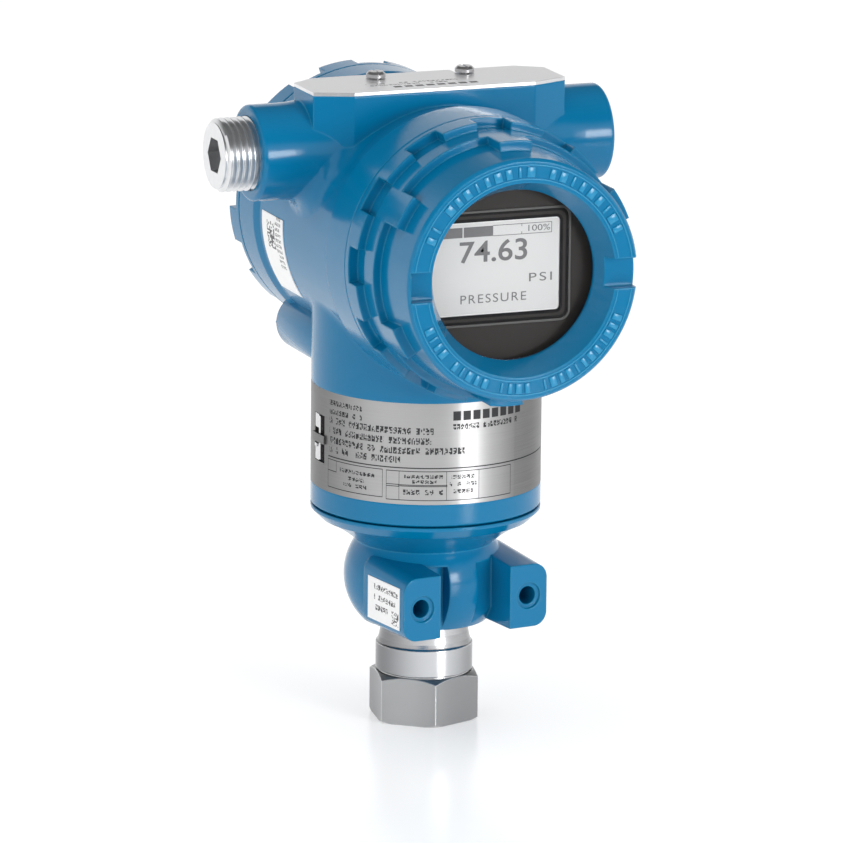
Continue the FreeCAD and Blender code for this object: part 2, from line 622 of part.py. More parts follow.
def housing_bores():
    """Everything that is cut out of the casting."""
    axis = dict(z="barrel_height")
    rear_start = "partition_thickness - partition_front"
    cutters = [
        cylinder("front_thread_bore", "front_thread_radius + running_fit",
                 "skirt_length + skirt_clearance + overcut", "rear",
                 y="0 - front_seam - overcut", **axis),
        cylinder("front_cavity", "front_cavity_radius",
                 "front_seam - partition_front + overcut", "rear",
                 y="0 - front_seam - overcut", **axis),
        cylinder("rear_cavity", "rear_cavity_radius",
                 "rear_seam + partition_front - partition_thickness + overcut", "rear",
                 y=rear_start, **axis),
        cylinder("rear_thread_bore", "rear_thread_radius + running_fit",
                 "skirt_length + skirt_clearance + overcut", "front",
                 y="rear_seam + overcut", **axis),
        cylinder("neck_bore", "neck_bore_radius", NECK_BORE_TOP + " - joint_height + overcut",
                 z="joint_height - overcut"),
        cylinder("spigot_seat", "spigot_radius + running_fit", "spigot_height + 1 + overcut",
                 z="joint_height - overcut"),
        cylinder("wire_passage", "wire_passage_radius",
                 "barrel_height - " + NECK_BORE_TOP + " - front_cavity_radius / 2",
                 y="0 - wire_passage_offset", z=NECK_BORE_TOP + " - 1"),
        cylinder("feedthrough_hole", "feedthrough_radius", "partition_thickness + 2", "rear",
                 y="0 - partition_front - 1", z="barrel_height + feedthrough_rise"),
        cylinder("inner_ground_hole", "terminal_screw_radius", "inner_ground_length", "front",
                 x="inner_ground_across", y=rear_start,
                 z="barrel_height + inner_ground_rise"),
    ]
    for side, facing, sign in (("left", "right", "0 - "), ("right", "left", "")):
        for bore, radius, depth in (
                ("_conduit_thread", "conduit_thread_radius", "conduit_thread_depth"),
                ("_conduit_bore", "conduit_bore_radius", "boss_reach - conduit_bore_end")):
            cutters.append(cylinder(side + bore, radius, depth + " + overcut", facing,
                                    x=sign + "(boss_reach + overcut)", y="boss_offset",
                                    z=BOSS_AXIS))
        cutters.append(cylinder(side + "_plate_screw_hole", "plate_screw_radius",
                                "plate_screw_length + overcut", "down",
                                x=sign + "plate_screw_half_spacing", y="plate_screw_offset",
                                z=LAND_TOP + " + overcut"))
        cutters.append(cylinder(side + "_button_well", "button_radius + running_fit",
                                "button_well + overcut", "down",
                                x=sign + "button_spacing", y="0 - button_offset",
                                z=LAND_TOP + " + overcut"))
    cutters.append(cylinder("ground_screw_hole", "ground_screw_radius",
                            "ground_screw_length + overcut", "front",
                            x="0 - ground_boss_offset", y="ground_boss_rear + overcut",
                            z=GROUND_BOSS_AXIS + " - ground_screw_drop"))
    return cutters


def radial_rod(name, radius, inner, outer, turn, around, y="0", z="0"):
    """A rod that points straight out from the neck or barrel axis."""
    rod = cylinder(name + "_rod", radius, outer + " - (" + inner + ")", "right", x=inner)
    turned_rod = doc.addObject("Part::Compound", name)
    turned_rod.Links = [rod]
    axis = Vector(0, 0, 1) if around == "neck" else Vector(0, -1, 0)
    turned_rod.Placement = Placement(Vector(0, 0, 0), Rotation(axis, 1))
    turned_rod.setExpression("Placement.Rotation.Angle", formula(turn))
    for direction, words in (("y", y), ("z", z)):
        if words != "0":
            turned_rod.setExpression("Placement.Base." + direction, formula(words))
    return turned_rod


JAM_PLACE = "skirt_length / 2 - front_seam"


def make_housing():
    """The housing casting with its two compartments, neck, conduit entries and land."""
    cutters = housing_bores()
    cutters.extend(band_channel())
    cutters.append(radial_rod("jam_screw_hole", "jam_screw_radius", "front_cavity_radius",
                              "front_flange_radius + 2", "jam_screw_turn", "barrel",
                              JAM_PLACE, "barrel_height"))
    cutters.append(radial_rod("lock_screw_hole", "lock_screw_radius", "neck_bore_radius + 1",
                              "neck_radius + 2", "lock_screw_turn", "neck",
                              z=LOCK_SCREW_LEVEL))
    bores = fuse("housing_bores", *cutters, refine=False)
    bored = [cut(mass.Name + "_bored", mass, bores, refine=False) for mass in housing_masses()]
    return piece("housing", fuse("housing_casting", *bored, refine=False))


def sector(name, inner, outer, start, sweep, length, facing="up", x="0", y="0", z="0"):
    """A slice of a ring, from the angle start over sweep."""
    body = doc.addObject("PartDesign::Body", name)
    profile = sector_sketch(body, name + "_outline", inner, outer, start, sweep)
    pad = body.newObject("PartDesign::Pad", name + "_pad")
    pad.Profile = profile
    bind(pad, Length=length)
    body.Tip = pad
    return put(body, facing, x, y, z)


def make_nameplate_band():
    """The steel band round the neck, with its slot and the tab that closes it."""
    inside = "neck_radius - band_thickness"
    strip = turned("band_strip", [
        (inside, "0"), ("neck_radius", "0"), ("neck_radius", "band_height"),
        (inside, "band_height")], z=BAND_BOTTOM)
    slot = sector("band_slot", inside + " - 1", "neck_radius + 1", "band_slot_turn",
                  "band_slot_sweep", "band_slot_height", z=BAND_BOTTOM + " + band_slot_rise")
    tab = sector("band_tab", inside, "neck_radius + band_tab_proud", "band_slot_turn - 1",
                 "band_slot_sweep + 2", "band_tab_height",
                 z=BAND_BOTTOM + " + band_slot_rise + (band_slot_height - band_tab_height) / 2")
    return piece("nameplate_band", fuse("band", cut("band_open", strip, slot), tab))


def make_housing_label():
    """The printed label on the side of the rear barrel."""
    return piece("housing_label", sector(
        "housing_label_sheet", "barrel_radius", "barrel_radius + label_thickness",
        "housing_label_turn", "housing_label_sweep", "housing_label_length", "front",
        y="housing_label_front + housing_label_length", z="barrel_height"))


def set_screw(name, radius, inner, length, turn, around, y="0", z="0"):
    """A headless screw with a round-bottomed socket, pointing out from an axis."""
    outer = inner + " + " + length
    body = radial_rod(name + "_body", radius, inner, outer, turn, around, y, z)
    socket = radial_rod(name + "_socket", "socket_radius", outer + " - socket_depth",
                        outer + " + 1", turn, around, y, z)
    return piece(name, cut(name + "_cut", body, socket))


def make_set_screws():
    """The screw that jams the front cover and the one that locks the housing's turn."""
    set_screw("cover_jam_screw", "jam_screw_radius", "front_thread_radius + joint_gap",
              "jam_screw_length", "jam_screw_turn", "barrel", JAM_PLACE, "barrel_height")
    set_screw("housing_lock_screw", "lock_screw_radius", "spigot_radius + joint_gap",
              "lock_screw_length", "lock_screw_turn", "neck", z=LOCK_SCREW_LEVEL)


def headed_screw(name, shank, grip, head, head_height, facing="up", x="0", y="0", z="0"):
    """A pan-head screw with a driver slot, standing on the tip of its shank."""
    top = grip + " + " + head_height
    blank = turned(name + "_blank", [
        ("0", "0"), (shank, "0"), (shank, grip), (head, grip),
        (head, grip + " + " + head_height + " * 0.6"), (head + " - " + head_height + " * 0.4", top),
        ("0", top)])
    groove = box(name + "_groove", "driver_slot", head + " * 2 + 1", head_height,
                 z=grip + " + " + head_height + " * 0.5")
    return piece(name, put(cut(name + "_cut", blank, groove), facing, x, y, z))


def make_top_plate():
    """The swinging top plate, the screw it turns on and the one that holds it shut."""
    plate = padded("plate_sheet", "XY_Plane", land_outline(), "plate_thickness", z=LAND_TOP)
    pivot = cylinder("plate_pivot_hole", "plate_screw_radius + plate_hole_play",
                     "plate_thickness", x="0 - plate_screw_half_spacing",
                     y="plate_screw_offset", z=LAND_TOP)
    seat = cylinder("plate_notch_end", "plate_screw_radius + plate_notch_play",
                    "plate_thickness", x="plate_screw_half_spacing",
                    y="plate_screw_offset", z=LAND_TOP)
    notch = box("plate_notch", "plate_screw_radius * 2 + plate_notch_play * 3",
                "land_rear - plate_screw_offset + 1", "plate_thickness",
                x="plate_screw_half_spacing - plate_notch_play / 2",
                y="(plate_screw_offset + land_rear + 1) / 2", z=LAND_TOP)
    piece("top_plate", cut("plate", plate, pivot, seat, notch))
    for name, sign in (("plate_pivot_screw", "0 - "), ("plate_lock_screw", "")):
        headed_screw(name, "plate_screw_radius",
                     "(plate_screw_length + plate_thickness + head_gap)",
                     "plate_head_radius", "plate_head_height", "up",
                     sign + "plate_screw_half_spacing", "plate_screw_offset",
                     LAND_TOP + " - plate_screw_length")


def coil_spring(name, coil_radius, length, x, y, z):
    """A coil of eight-sided wire standing on its place."""
    radius, wire = number(coil_radius), number("spring_wire_radius")
    rise = number(length) - 2 * wire
    path = Part.makeHelix(rise / number("spring_turns"), rise, radius)
    ring = [Vector(radius + wire * math.cos(math.pi * k / 4), 0, wire * math.sin(math.pi * k / 4))
            for k in range(8)]
    coil = path.makePipeShell([Part.makePolygon(ring + [ring[0]])], True, True)
    return piece(name, shaped(name, coil, x=x, y=y, z=z + " + spring_wire_radius"))


def make_buttons():
    """Two sprung push buttons in wells under the top plate."""
    cap = "(button_stem_length + button_length)"
    for name, sign in (("zero_button", "0 - "), ("span_button", "")):
        across = sign + "button_spacing"
        piece(name, turned(name + "_body", [
            ("0", "0"), ("button_stem_radius", "0"), ("button_stem_radius", "button_stem_length"),
            ("button_radius", "button_stem_length"), ("button_radius", cap + " - button_edge"),
            ("button_radius - button_edge", cap), ("0", cap)],
            x=across, y="0 - button_offset", z=LAND_TOP + " - button_recess - " + cap))
        coil_spring(name + "_spring", "(button_stem_radius + button_radius) / 2",
                    "button_well - button_recess - button_length",
                    across, "0 - button_offset", LAND_TOP + " - button_well")


def raise_sketch(sketch, words):
    """Lift a sketch along its body's Z axis."""
    sketch.AttachmentOffset = Placement(Vector(0, 0, number(words)), Rotation())
    sketch.setExpression("AttachmentOffset.Base.z", formula(words))
    return sketch


def pocket_up(body, name, profile, depth):
    """Cut a sketch's outline away upward over a depth."""
    pocket = body.newObject("PartDesign::Pocket", name)
    pocket.Profile = profile
    pocket.Reversed = True
    bind(pocket, Length=depth)
    body.Tip = pocket
    return pocket


def notch_flange(body, floor, outside, bottom, length, turn):
    """Cut twelve notches that leave teeth on a cover's flange."""
    profile = raise_sketch(sector_sketch(body, body.Name + "_notch", floor, outside + " + 2",
                                         turn, "30 - tooth_width"), bottom)
    notch = pocket_up(body, body.Name + "_notch_cut", profile, length)
    ring_of(body, notch, 12, profile)


def cut_wrench_slots(body, reach, bottom):
    """Cut one slot right across a cover's end ring for a wrench."""
    half = "wrench_slot_width / 2"
    profile = raise_sketch(outline(body, body.Name + "_slot", "XY_Plane", [
        ("0 - " + reach, "0 - " + half), (reach, "0 - " + half), (reach, half),
        ("0 - " + reach, half)]), bottom)
    pocket_up(body, body.Name + "_slot_cut", profile, "wrench_slot_depth + 2")


def skirt_points(thread, groove):
    """Outer corners of a threaded skirt with a groove for its sealing ring."""
    low = groove + " - seal_groove_width"
    return [(thread, "0"), (thread, low), (thread + " - seal_groove_depth", low),
            (thread + " - seal_groove_depth", groove), (thread, groove)]


SEAL_GROOVE = "skirt_length - seal_groove_step"


def make_front_cover():
    """Front cover: threaded skirt, toothed flange, six wrench blocks and window ring."""
    mid = "front_flange_radius - mid_drop"
    front = "skirt_length + front_cover_length"
    glass_seat = front + " - window_depth"
    glass_back = glass_seat + " - glass_thickness"
    hold = "glass_radius + bond_width"
    flange = "skirt_length + cover_gap"
    body = turned("front_cover_body", skirt_points("front_thread_radius", SEAL_GROOVE) + [
        ("front_thread_radius", flange), ("front_flange_radius", flange),
        ("front_flange_radius", "skirt_length + tooth_length"),
        (mid, "skirt_length + tooth_length"), (mid, "skirt_length + mid_length"),
        ("barrel_root_radius", "skirt_length + mid_length"),
        ("barrel_end_radius", front + " - ring_edge"), ("ring_radius", front),
        ("ring_mouth_radius", front), ("window_radius", glass_seat + " + window_lip"),
        ("window_radius", glass_seat), (hold, glass_seat), (hold, glass_back),
        ("cover_cavity_radius", glass_back), ("cover_cavity_radius", "0")])
    notch_flange(body, "front_flange_radius - notch_drop", "front_flange_radius",
                 "skirt_length + tooth_rim", "tooth_length - tooth_rim", "front_notch_turn")
    block = raise_sketch(sector_sketch(body, "block_outline", "barrel_end_radius - 1", mid,
                                       "front_notch_turn", "tooth_width"),
                         "skirt_length + mid_length - 1")
    pad = body.newObject("PartDesign::Pad", "wrench_block")
    pad.Profile = block
    bind(pad, Length="block_length - mid_length + 1")
    ring_of(body, pad, 6, block)
    cut_wrench_slots(body, "barrel_root_radius + 2", front + " - wrench_slot_depth")
    put(body, "front", y="skirt_length - front_seam", z="barrel_height")
    return piece("front_cover", body)


GLASS_FRONT = "front_seam + front_cover_length - window_depth"


def make_window():
    """The glass and the ring of cement that holds it in the front cover."""
    piece("front_cover_glass", cylinder("glass_disc", "glass_radius", "glass_thickness",
                                        "rear", y="0 - (" + GLASS_FRONT + ")",
                                        z="barrel_height"))
    piece("glass_bond_ring", turned("glass_bond", [
        ("glass_radius", "0"), ("glass_radius + bond_width", "0"),
        ("glass_radius + bond_width", "glass_thickness"), ("glass_radius", "glass_thickness")],
        "rear", y="0 - (" + GLASS_FRONT + ")", z="barrel_height"))


def make_rear_cover():
    """Blank rear cover with the same toothed flange and a raised ring with wrench slots."""
    mid = "rear_flange_radius - mid_drop"
    back = "skirt_length + rear_cap_length"
    flange = "skirt_length + cover_gap"
    floor = back + " - rear_recess"
    inside = "rear_thread_radius - rear_cap_wall"
    body = turned("rear_cover_body", skirt_points("rear_thread_radius", SEAL_GROOVE) + [
        ("rear_thread_radius", flange), ("rear_flange_radius", flange),
        ("rear_flange_radius", "skirt_length + rear_tooth_length"),
        ("rear_ring_radius + 1.2", "skirt_length + rear_tooth_length"),
        ("rear_ring_radius", back), ("rear_ring_bore", back), ("rear_ring_bore - 0.8", floor),
        ("0", floor), ("0", floor + " - rear_cap_wall"), (inside, floor + " - rear_cap_wall"),
        (inside, "0")])
    notch_flange(body, mid, "rear_flange_radius", "skirt_length + tooth_rim",
                 "rear_tooth_length - tooth_rim", "rear_notch_turn")
    cut_wrench_slots(body, "rear_flange_radius + 2", back + " - rear_slot_depth")
    put(body, "rear", y="rear_seam - skirt_length", z="barrel_height")
    return piece("rear_cover", body)


def make_cover_seals():
    """One sealing ring in the groove of each cover's skirt."""
    step = "seal_groove_step + seal_groove_width / 2"
    for name, thread, place in (
            ("front_cover_seal", "front_thread_radius", step + " - front_seam"),
            ("rear_cover_seal", "rear_thread_radius", "rear_seam - (" + step + ")")):
        piece(name, ball_ring(name + "_ring", thread + " - seal_groove_depth / 2",
                              "seal_section", "front", y=place, z="barrel_height"))


BEZEL_FRONT = "(" + GLASS_FRONT + " - glass_thickness - display_gap)"
BOARD_FRONT = "(" + BEZEL_FRONT + " - bezel_length)"
BOARD_BACK = "(" + BOARD_FRONT + " - board_thickness)"
UNIT_FRONT = "(partition_front + electronics_length)"


def display_rod(name, radius, front, back, side):
    """A rod along the barrel, in line with one of the two display screws."""
    turn = math.radians(number("display_screw_turn"))
    sign = " - " if side == "lower" else " + "
    across = "0" + sign + "display_screw_reach * %.6f" % math.cos(turn)
    rise = "barrel_height" + sign + "display_screw_reach * %.6f" % math.sin(turn)
    return cylinder(name, radius, front + " - " + back, "front", across, "0 - " + back, rise)


def make_display():
    """The round bezel, the screen in its window, the board behind and what holds them."""
    disc = cylinder("bezel_disc", "bezel_radius", "bezel_length", "front",
                    y="0 - " + BOARD_FRONT, z="barrel_height")
    window = box("bezel_window", "2 * screen_half_width", "bezel_length + 2",
                 "2 * screen_half_height", x="0 - screen_shift",
                 y="0 - " + BOARD_FRONT + " - bezel_length / 2",
                 z="barrel_height + screen_rise - screen_half_height")
    cutters = [window]
    board_holes = []
    for side in ("upper", "lower"):
        sink = BEZEL_FRONT + " - display_screw_sink"
        cutters.append(display_rod("bezel_hole_" + side, "display_screw_radius",
                                   BEZEL_FRONT, BOARD_FRONT, side))
        cutters.append(display_rod("bezel_sink_" + side, "display_screw_head",
                                   BEZEL_FRONT, "(" + sink + ")", side))
        board_holes.append(display_rod("board_hole_" + side, "display_screw_radius",
                                       BOARD_FRONT, BOARD_BACK, side))
        shank_end = "(" + BOARD_BACK + " - display_screw_grip)"
        post = display_rod("standoff_post_" + side, "standoff_radius", BOARD_BACK,
                           UNIT_FRONT, side)
        tapped = display_rod("standoff_hole_" + side, "display_screw_radius", BOARD_BACK,
                             shank_end, side)
        piece("display_standoff_" + side, cut("standoff_" + side, post, tapped))
        shank = display_rod("screw_shank_" + side, "display_screw_radius",
                            "(" + sink + ")", shank_end, side)
        head = display_rod("screw_head_" + side, "display_screw_head",
                           "(" + BEZEL_FRONT + " - 0.2)", "(" + sink + ")", side)
        piece("display_screw_" + side, fuse("screw_" + side, shank, head))
    piece("display_bezel", cut("bezel", disc, *cutters))
    piece("display_screen", box(
        "screen", "2 * screen_half_width", "bezel_length - screen_inset",
        "2 * screen_half_height", x="0 - screen_shift",
        y="0 - " + BOARD_FRONT + " - (bezel_length - screen_inset) / 2",
        z="barrel_height + screen_rise - screen_half_height"))
    disc = cylinder("display_board_disc", "display_board_radius", "board_thickness", "front",
                    y="0 - " + BOARD_BACK, z="barrel_height")
    piece("display_board", cut("display_board_cut", disc, *board_holes))


def make_electronics():
    """The potted electronics unit, the feedthrough in the wall and the sensor's ribbon."""
    unit = turned("electronics_disc", [
        ("0", "0"), ("electronics_radius", "0"),
        ("electronics_radius", "electronics_length - electronics_edge"),
        ("electronics_radius - electronics_edge", "electronics_length"),
        ("0", "electronics_length")], "front", y="0 - partition_front", z="barrel_height")
    notch = box("electronics_notch", "electronics_notch_width", "electronics_length + 2",
                "electronics_radius - electronics_notch_rise + 1",
                y="0 - partition_front - electronics_length / 2",
                z="barrel_height - electronics_radius - 1")
    piece("electronics_unit", cut("electronics", unit, notch))
    piece("wall_feedthrough", turned("feedthrough", [
        ("0", "0"), ("feedthrough_radius", "0"), ("feedthrough_radius", "partition_thickness"),
        ("feedthrough_flange", "partition_thickness"),
        ("feedthrough_flange", "partition_thickness + feedthrough_flange_thickness"),
        ("0", "partition_thickness + feedthrough_flange_thickness")], "rear",
        y="0 - partition_front", z="barrel_height + feedthrough_rise"))
    half = "ribbon_thickness / 2"
    top = "barrel_height - electronics_notch_rise"
    strip = padded("ribbon_strip", "YZ_Plane", [
        ("0 - " + half, "ribbon_plug_top"), (half, "ribbon_plug_top"),
        (half, "ribbon_first_bend"), ("0 - wire_passage_offset + " + half, "ribbon_second_bend"),
        ("0 - wire_passage_offset + " + half, top), ("0 - wire_passage_offset - " + half, top),
        ("0 - wire_passage_offset - " + half, "ribbon_second_bend - ribbon_thickness"),
        ("0 - " + half, "ribbon_first_bend - ribbon_thickness")],
        "ribbon_width", x="0 - ribbon_width / 2")
    base = CELL_SEAT + " + cell_height + board_thickness + connector_floor + joint_gap"
    plug = cylinder("ribbon_plug", "ribbon_plug_radius", "ribbon_plug_top - (" + base + ")",
                    z=base)
    piece("sensor_ribbon", fuse("ribbon", strip, plug))


BLOCK_FACE = "partition_thickness - partition_front + terminal_block_length"


def make_terminals():
    """The terminal block with its three screws and clamps, and the inner ground screw."""
    rear_start = "partition_thickness - partition_front"
    disc = cylinder("block_disc", "terminal_block_radius", "terminal_block_length", "rear",
                    y=rear_start, z="barrel_height")
    top = box("block_top", "2 * terminal_block_radius + 2", "terminal_block_length + 2",
              "terminal_block_radius", y=rear_start + " + terminal_block_length / 2",
              z="barrel_height + terminal_block_rise")
    holes = []
    terminal_z = "barrel_height - terminal_drop"
    places = (("left", "0 - terminal_pitch"), ("middle", "0"), ("right", "terminal_pitch"))
    for side, across in places:
        holes.append(cylinder("terminal_hole_" + side, "terminal_screw_radius",
                              "terminal_screw_length", "front", x=across, y=BLOCK_FACE,
                              z=terminal_z))
        clamp = box("clamp_plate_" + side, "terminal_clamp_side", "terminal_clamp_thickness",
                    "terminal_clamp_side", x=across,
                    y=BLOCK_FACE + " + terminal_clamp_thickness / 2",
                    z=terminal_z + " - terminal_clamp_side / 2")
        hole = cylinder("clamp_hole_" + side, "terminal_screw_radius",
                        "terminal_clamp_thickness + 2", "rear", x=across,
                        y=BLOCK_FACE + " - 1", z=terminal_z)
        piece("terminal_clamp_" + side, cut("clamp_" + side, clamp, hole))
        headed_screw("terminal_screw_" + side, "terminal_screw_radius",
                     "(terminal_screw_length + terminal_clamp_thickness)",
                     "terminal_head_radius", "terminal_head_height", "rear", across,
                     BLOCK_FACE + " - terminal_screw_length", terminal_z)
    barriers = [box("barrier_" + side, "barrier_thickness", "barrier_height", "barrier_length",
                    x=sign + "terminal_pitch / 2", y=BLOCK_FACE + " + barrier_height / 2",
                    z=terminal_z + " - barrier_length / 2")
                for side, sign in (("left", "0 - "), ("right", ""))]
    block = cut("block_cut", disc, top, *holes)
    piece("terminal_block", fuse("block", block, *barriers))
    headed_screw("inner_ground_screw", "terminal_screw_radius", "inner_ground_length",
                 "terminal_head_radius", "terminal_head_height", "rear",
                 "inner_ground_across", rear_start + " - inner_ground_length",
                 "barrel_height + inner_ground_rise")


def make_outer_ground():
    """The ground screw on the rear of its boss and the washer under its head."""
    place = dict(x="0 - ground_boss_offset", z=GROUND_BOSS_AXIS + " - ground_screw_drop")
    piece("external_ground_washer", turned("ground_washer", [
        ("ground_screw_radius", "0"), ("ground_washer_radius", "0"),
        ("ground_washer_radius", "ground_washer_thickness"),
        ("ground_screw_radius", "ground_washer_thickness")], "rear",
        y="ground_boss_rear", **place))
    headed_screw("external_ground_screw", "ground_screw_radius",
                 "(ground_screw_length + ground_washer_thickness)", "ground_head_radius",
                 "ground_head_height", "rear", y="ground_boss_rear - ground_screw_length",
                 **place)


def make_conduit_plug():
    """The threaded plug in the left conduit entry and the sealing sleeve round it."""
    seal_start = "plug_seal_start"
    seal_end = "plug_seal_start + plug_seal_length"
    waist = "plug_thread_radius - plug_seal_depth"
    blank = turned("plug_blank", [
        ("0", "0"), ("plug_thread_radius - plug_chamfer", "0"),
        ("plug_thread_radius", "plug_chamfer"), ("plug_thread_radius", seal_start),
        (waist, seal_start), (waist, seal_end), ("plug_thread_radius", seal_end),
        ("plug_thread_radius", "plug_length - plug_chamfer"),
        ("plug_thread_radius - plug_chamfer", "plug_length"), ("0", "plug_length")])
    socket = prism("plug_socket", 6, "plug_hex_flats / 1.7320508", "plug_hex_depth + 1",
                   z="plug_length - plug_hex_depth")
    inner_end = "plug_length - plug_stand_out - boss_reach"
    piece("conduit_plug", put(cut("plug", blank, socket), "left", inner_end, "boss_offset",
                              BOSS_AXIS))
    piece("plug_thread_seal", turned("plug_sleeve", [
        (waist, "0"), ("plug_thread_radius", "0"), ("plug_thread_radius", "plug_seal_length"),
        (waist, "plug_seal_length")], "left", inner_end + " - plug_seal_start",
        "boss_offset", BOSS_AXIS))


for make in (make_process_connector, make_diaphragm, make_sensor_module,
             make_module_internals, make_module_label, make_housing, make_nameplate_band,
             make_housing_label, make_set_screws, make_top_plate, make_buttons,
             make_front_cover, make_window, make_rear_cover, make_cover_seals, make_display,
             make_electronics, make_terminals, make_outer_ground, make_conduit_plug):
    make()
doc.recompute()

for item in doc.Objects:
    if "Invalid" in item.State or "Error" in item.State:
        raise RuntimeError("%s did not build: %s" % (item.Name, item.State))
os.makedirs("parts", exist_ok=True)
for name, item in nodes.items():
    shape = item.Shape
    if shape.isNull() or not shape.isValid() or shape.Volume <= 0:
        raise RuntimeError("%s has no valid solid" % name)
    shape.exportStep("parts/" + name + ".step")
    bounds = shape.BoundBox
    print("%-24s %8.1f mm3  x %7.2f %7.2f  y %7.2f %7.2f  z %7.2f %7.2f" % (
        name, shape.Volume, bounds.XMin, bounds.XMax, bounds.YMin, bounds.YMax,
        bounds.ZMin, bounds.ZMax))
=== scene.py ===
"""Looks of a pressure transmitter with a round display window and a banded neck."""

import json
import math

import bmesh
import bpy
from mathutils import Matrix, Vector


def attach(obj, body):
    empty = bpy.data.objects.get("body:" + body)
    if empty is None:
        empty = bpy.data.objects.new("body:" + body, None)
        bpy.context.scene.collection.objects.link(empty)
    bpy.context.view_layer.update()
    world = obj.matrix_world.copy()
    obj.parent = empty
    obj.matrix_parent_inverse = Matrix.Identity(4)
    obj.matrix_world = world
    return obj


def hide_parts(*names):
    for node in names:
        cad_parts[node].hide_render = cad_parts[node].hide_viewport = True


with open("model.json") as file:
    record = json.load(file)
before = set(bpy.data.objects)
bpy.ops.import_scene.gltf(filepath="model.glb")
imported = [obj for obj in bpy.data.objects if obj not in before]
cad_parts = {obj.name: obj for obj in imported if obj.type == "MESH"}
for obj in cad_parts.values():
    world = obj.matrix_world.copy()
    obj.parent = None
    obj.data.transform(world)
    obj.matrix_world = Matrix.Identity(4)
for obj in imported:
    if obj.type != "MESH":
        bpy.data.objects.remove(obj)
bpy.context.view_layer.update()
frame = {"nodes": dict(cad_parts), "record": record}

MM = 0.001
TURN = 2 * math.pi

# The camera stands in front of the display, a little to its left and above it.
PHOTO_WIDTH = 843
SENSOR = 36
FOCAL_PIXELS = 8043.86
CAMERA_DISTANCE = 2315.75 * MM
CAMERA_AZIMUTH = math.radians(-21.41)
CAMERA_ELEVATION = math.radians(13.12)
CAMERA_ROLL = math.radians(0.54)
CAMERA_AIM = Vector((-1.42, 0, 87.29)) * MM

# Places and sizes of the object's pieces, in metres.
BARREL_HEIGHT = 143.6 * MM
CROSSBODY_CENTRE = Vector((0, 3.7, 168.6)) * MM
RING_FACE = -73.5 * MM
MODULE_YAW = math.radians(7.93)
HEXAGON_TOP = 14 * MM
PLATE_MARK_LEVEL = 187 * MM
POINT_PITCH = 0.3 * MM


# Shader maths


class Value:
    """A number or colour on its way through a finish."""

    def __init__(self, finish, socket):
        self.finish = finish
        self.socket = socket

    def maths(self, operation, *terms):
        return self.finish.node("ShaderNodeMath", {"operation": operation}, dict(enumerate(terms)))

    def __add__(self, other):
        return self.maths("ADD", self, other)

    def __radd__(self, other):
        return self.maths("ADD", other, self)

    def __sub__(self, other):
        return self.maths("SUBTRACT", self, other)

    def __rsub__(self, other):
        return self.maths("SUBTRACT", other, self)

    def __mul__(self, other):
        return self.maths("MULTIPLY", self, other)

    def __rmul__(self, other):
        return self.maths("MULTIPLY", other, self)

    def __truediv__(self, other):
        return self.maths("DIVIDE", self, other)

    def __pow__(self, other):
        return self.maths("POWER", self, other)

    def __gt__(self, other):
        return self.maths("GREATER_THAN", self, other)

    def __lt__(self, other):
        return self.maths("LESS_THAN", self, other)

    def __abs__(self):
        return self.maths("ABSOLUTE", self)

    def __or__(self, other):
        return self.maths("MAXIMUM", self, other)

    def __and__(self, other):
        return self.maths("MINIMUM", self, other)

    def floor(self):
        return self.maths("FLOOR", self)

    def fraction(self):
        return self.maths("FRACT", self)

    def cosine(self):
        return self.maths("COSINE", self)

    def angle_over(self, other):
        """The angle whose tangent is this value over the other one."""
        return self.maths("ARCTAN2", self, other)

    def between(self, low, high):
        return (self > low) * (self < high)


EDGE_GAIN = 9
EDGE_START = 0.15


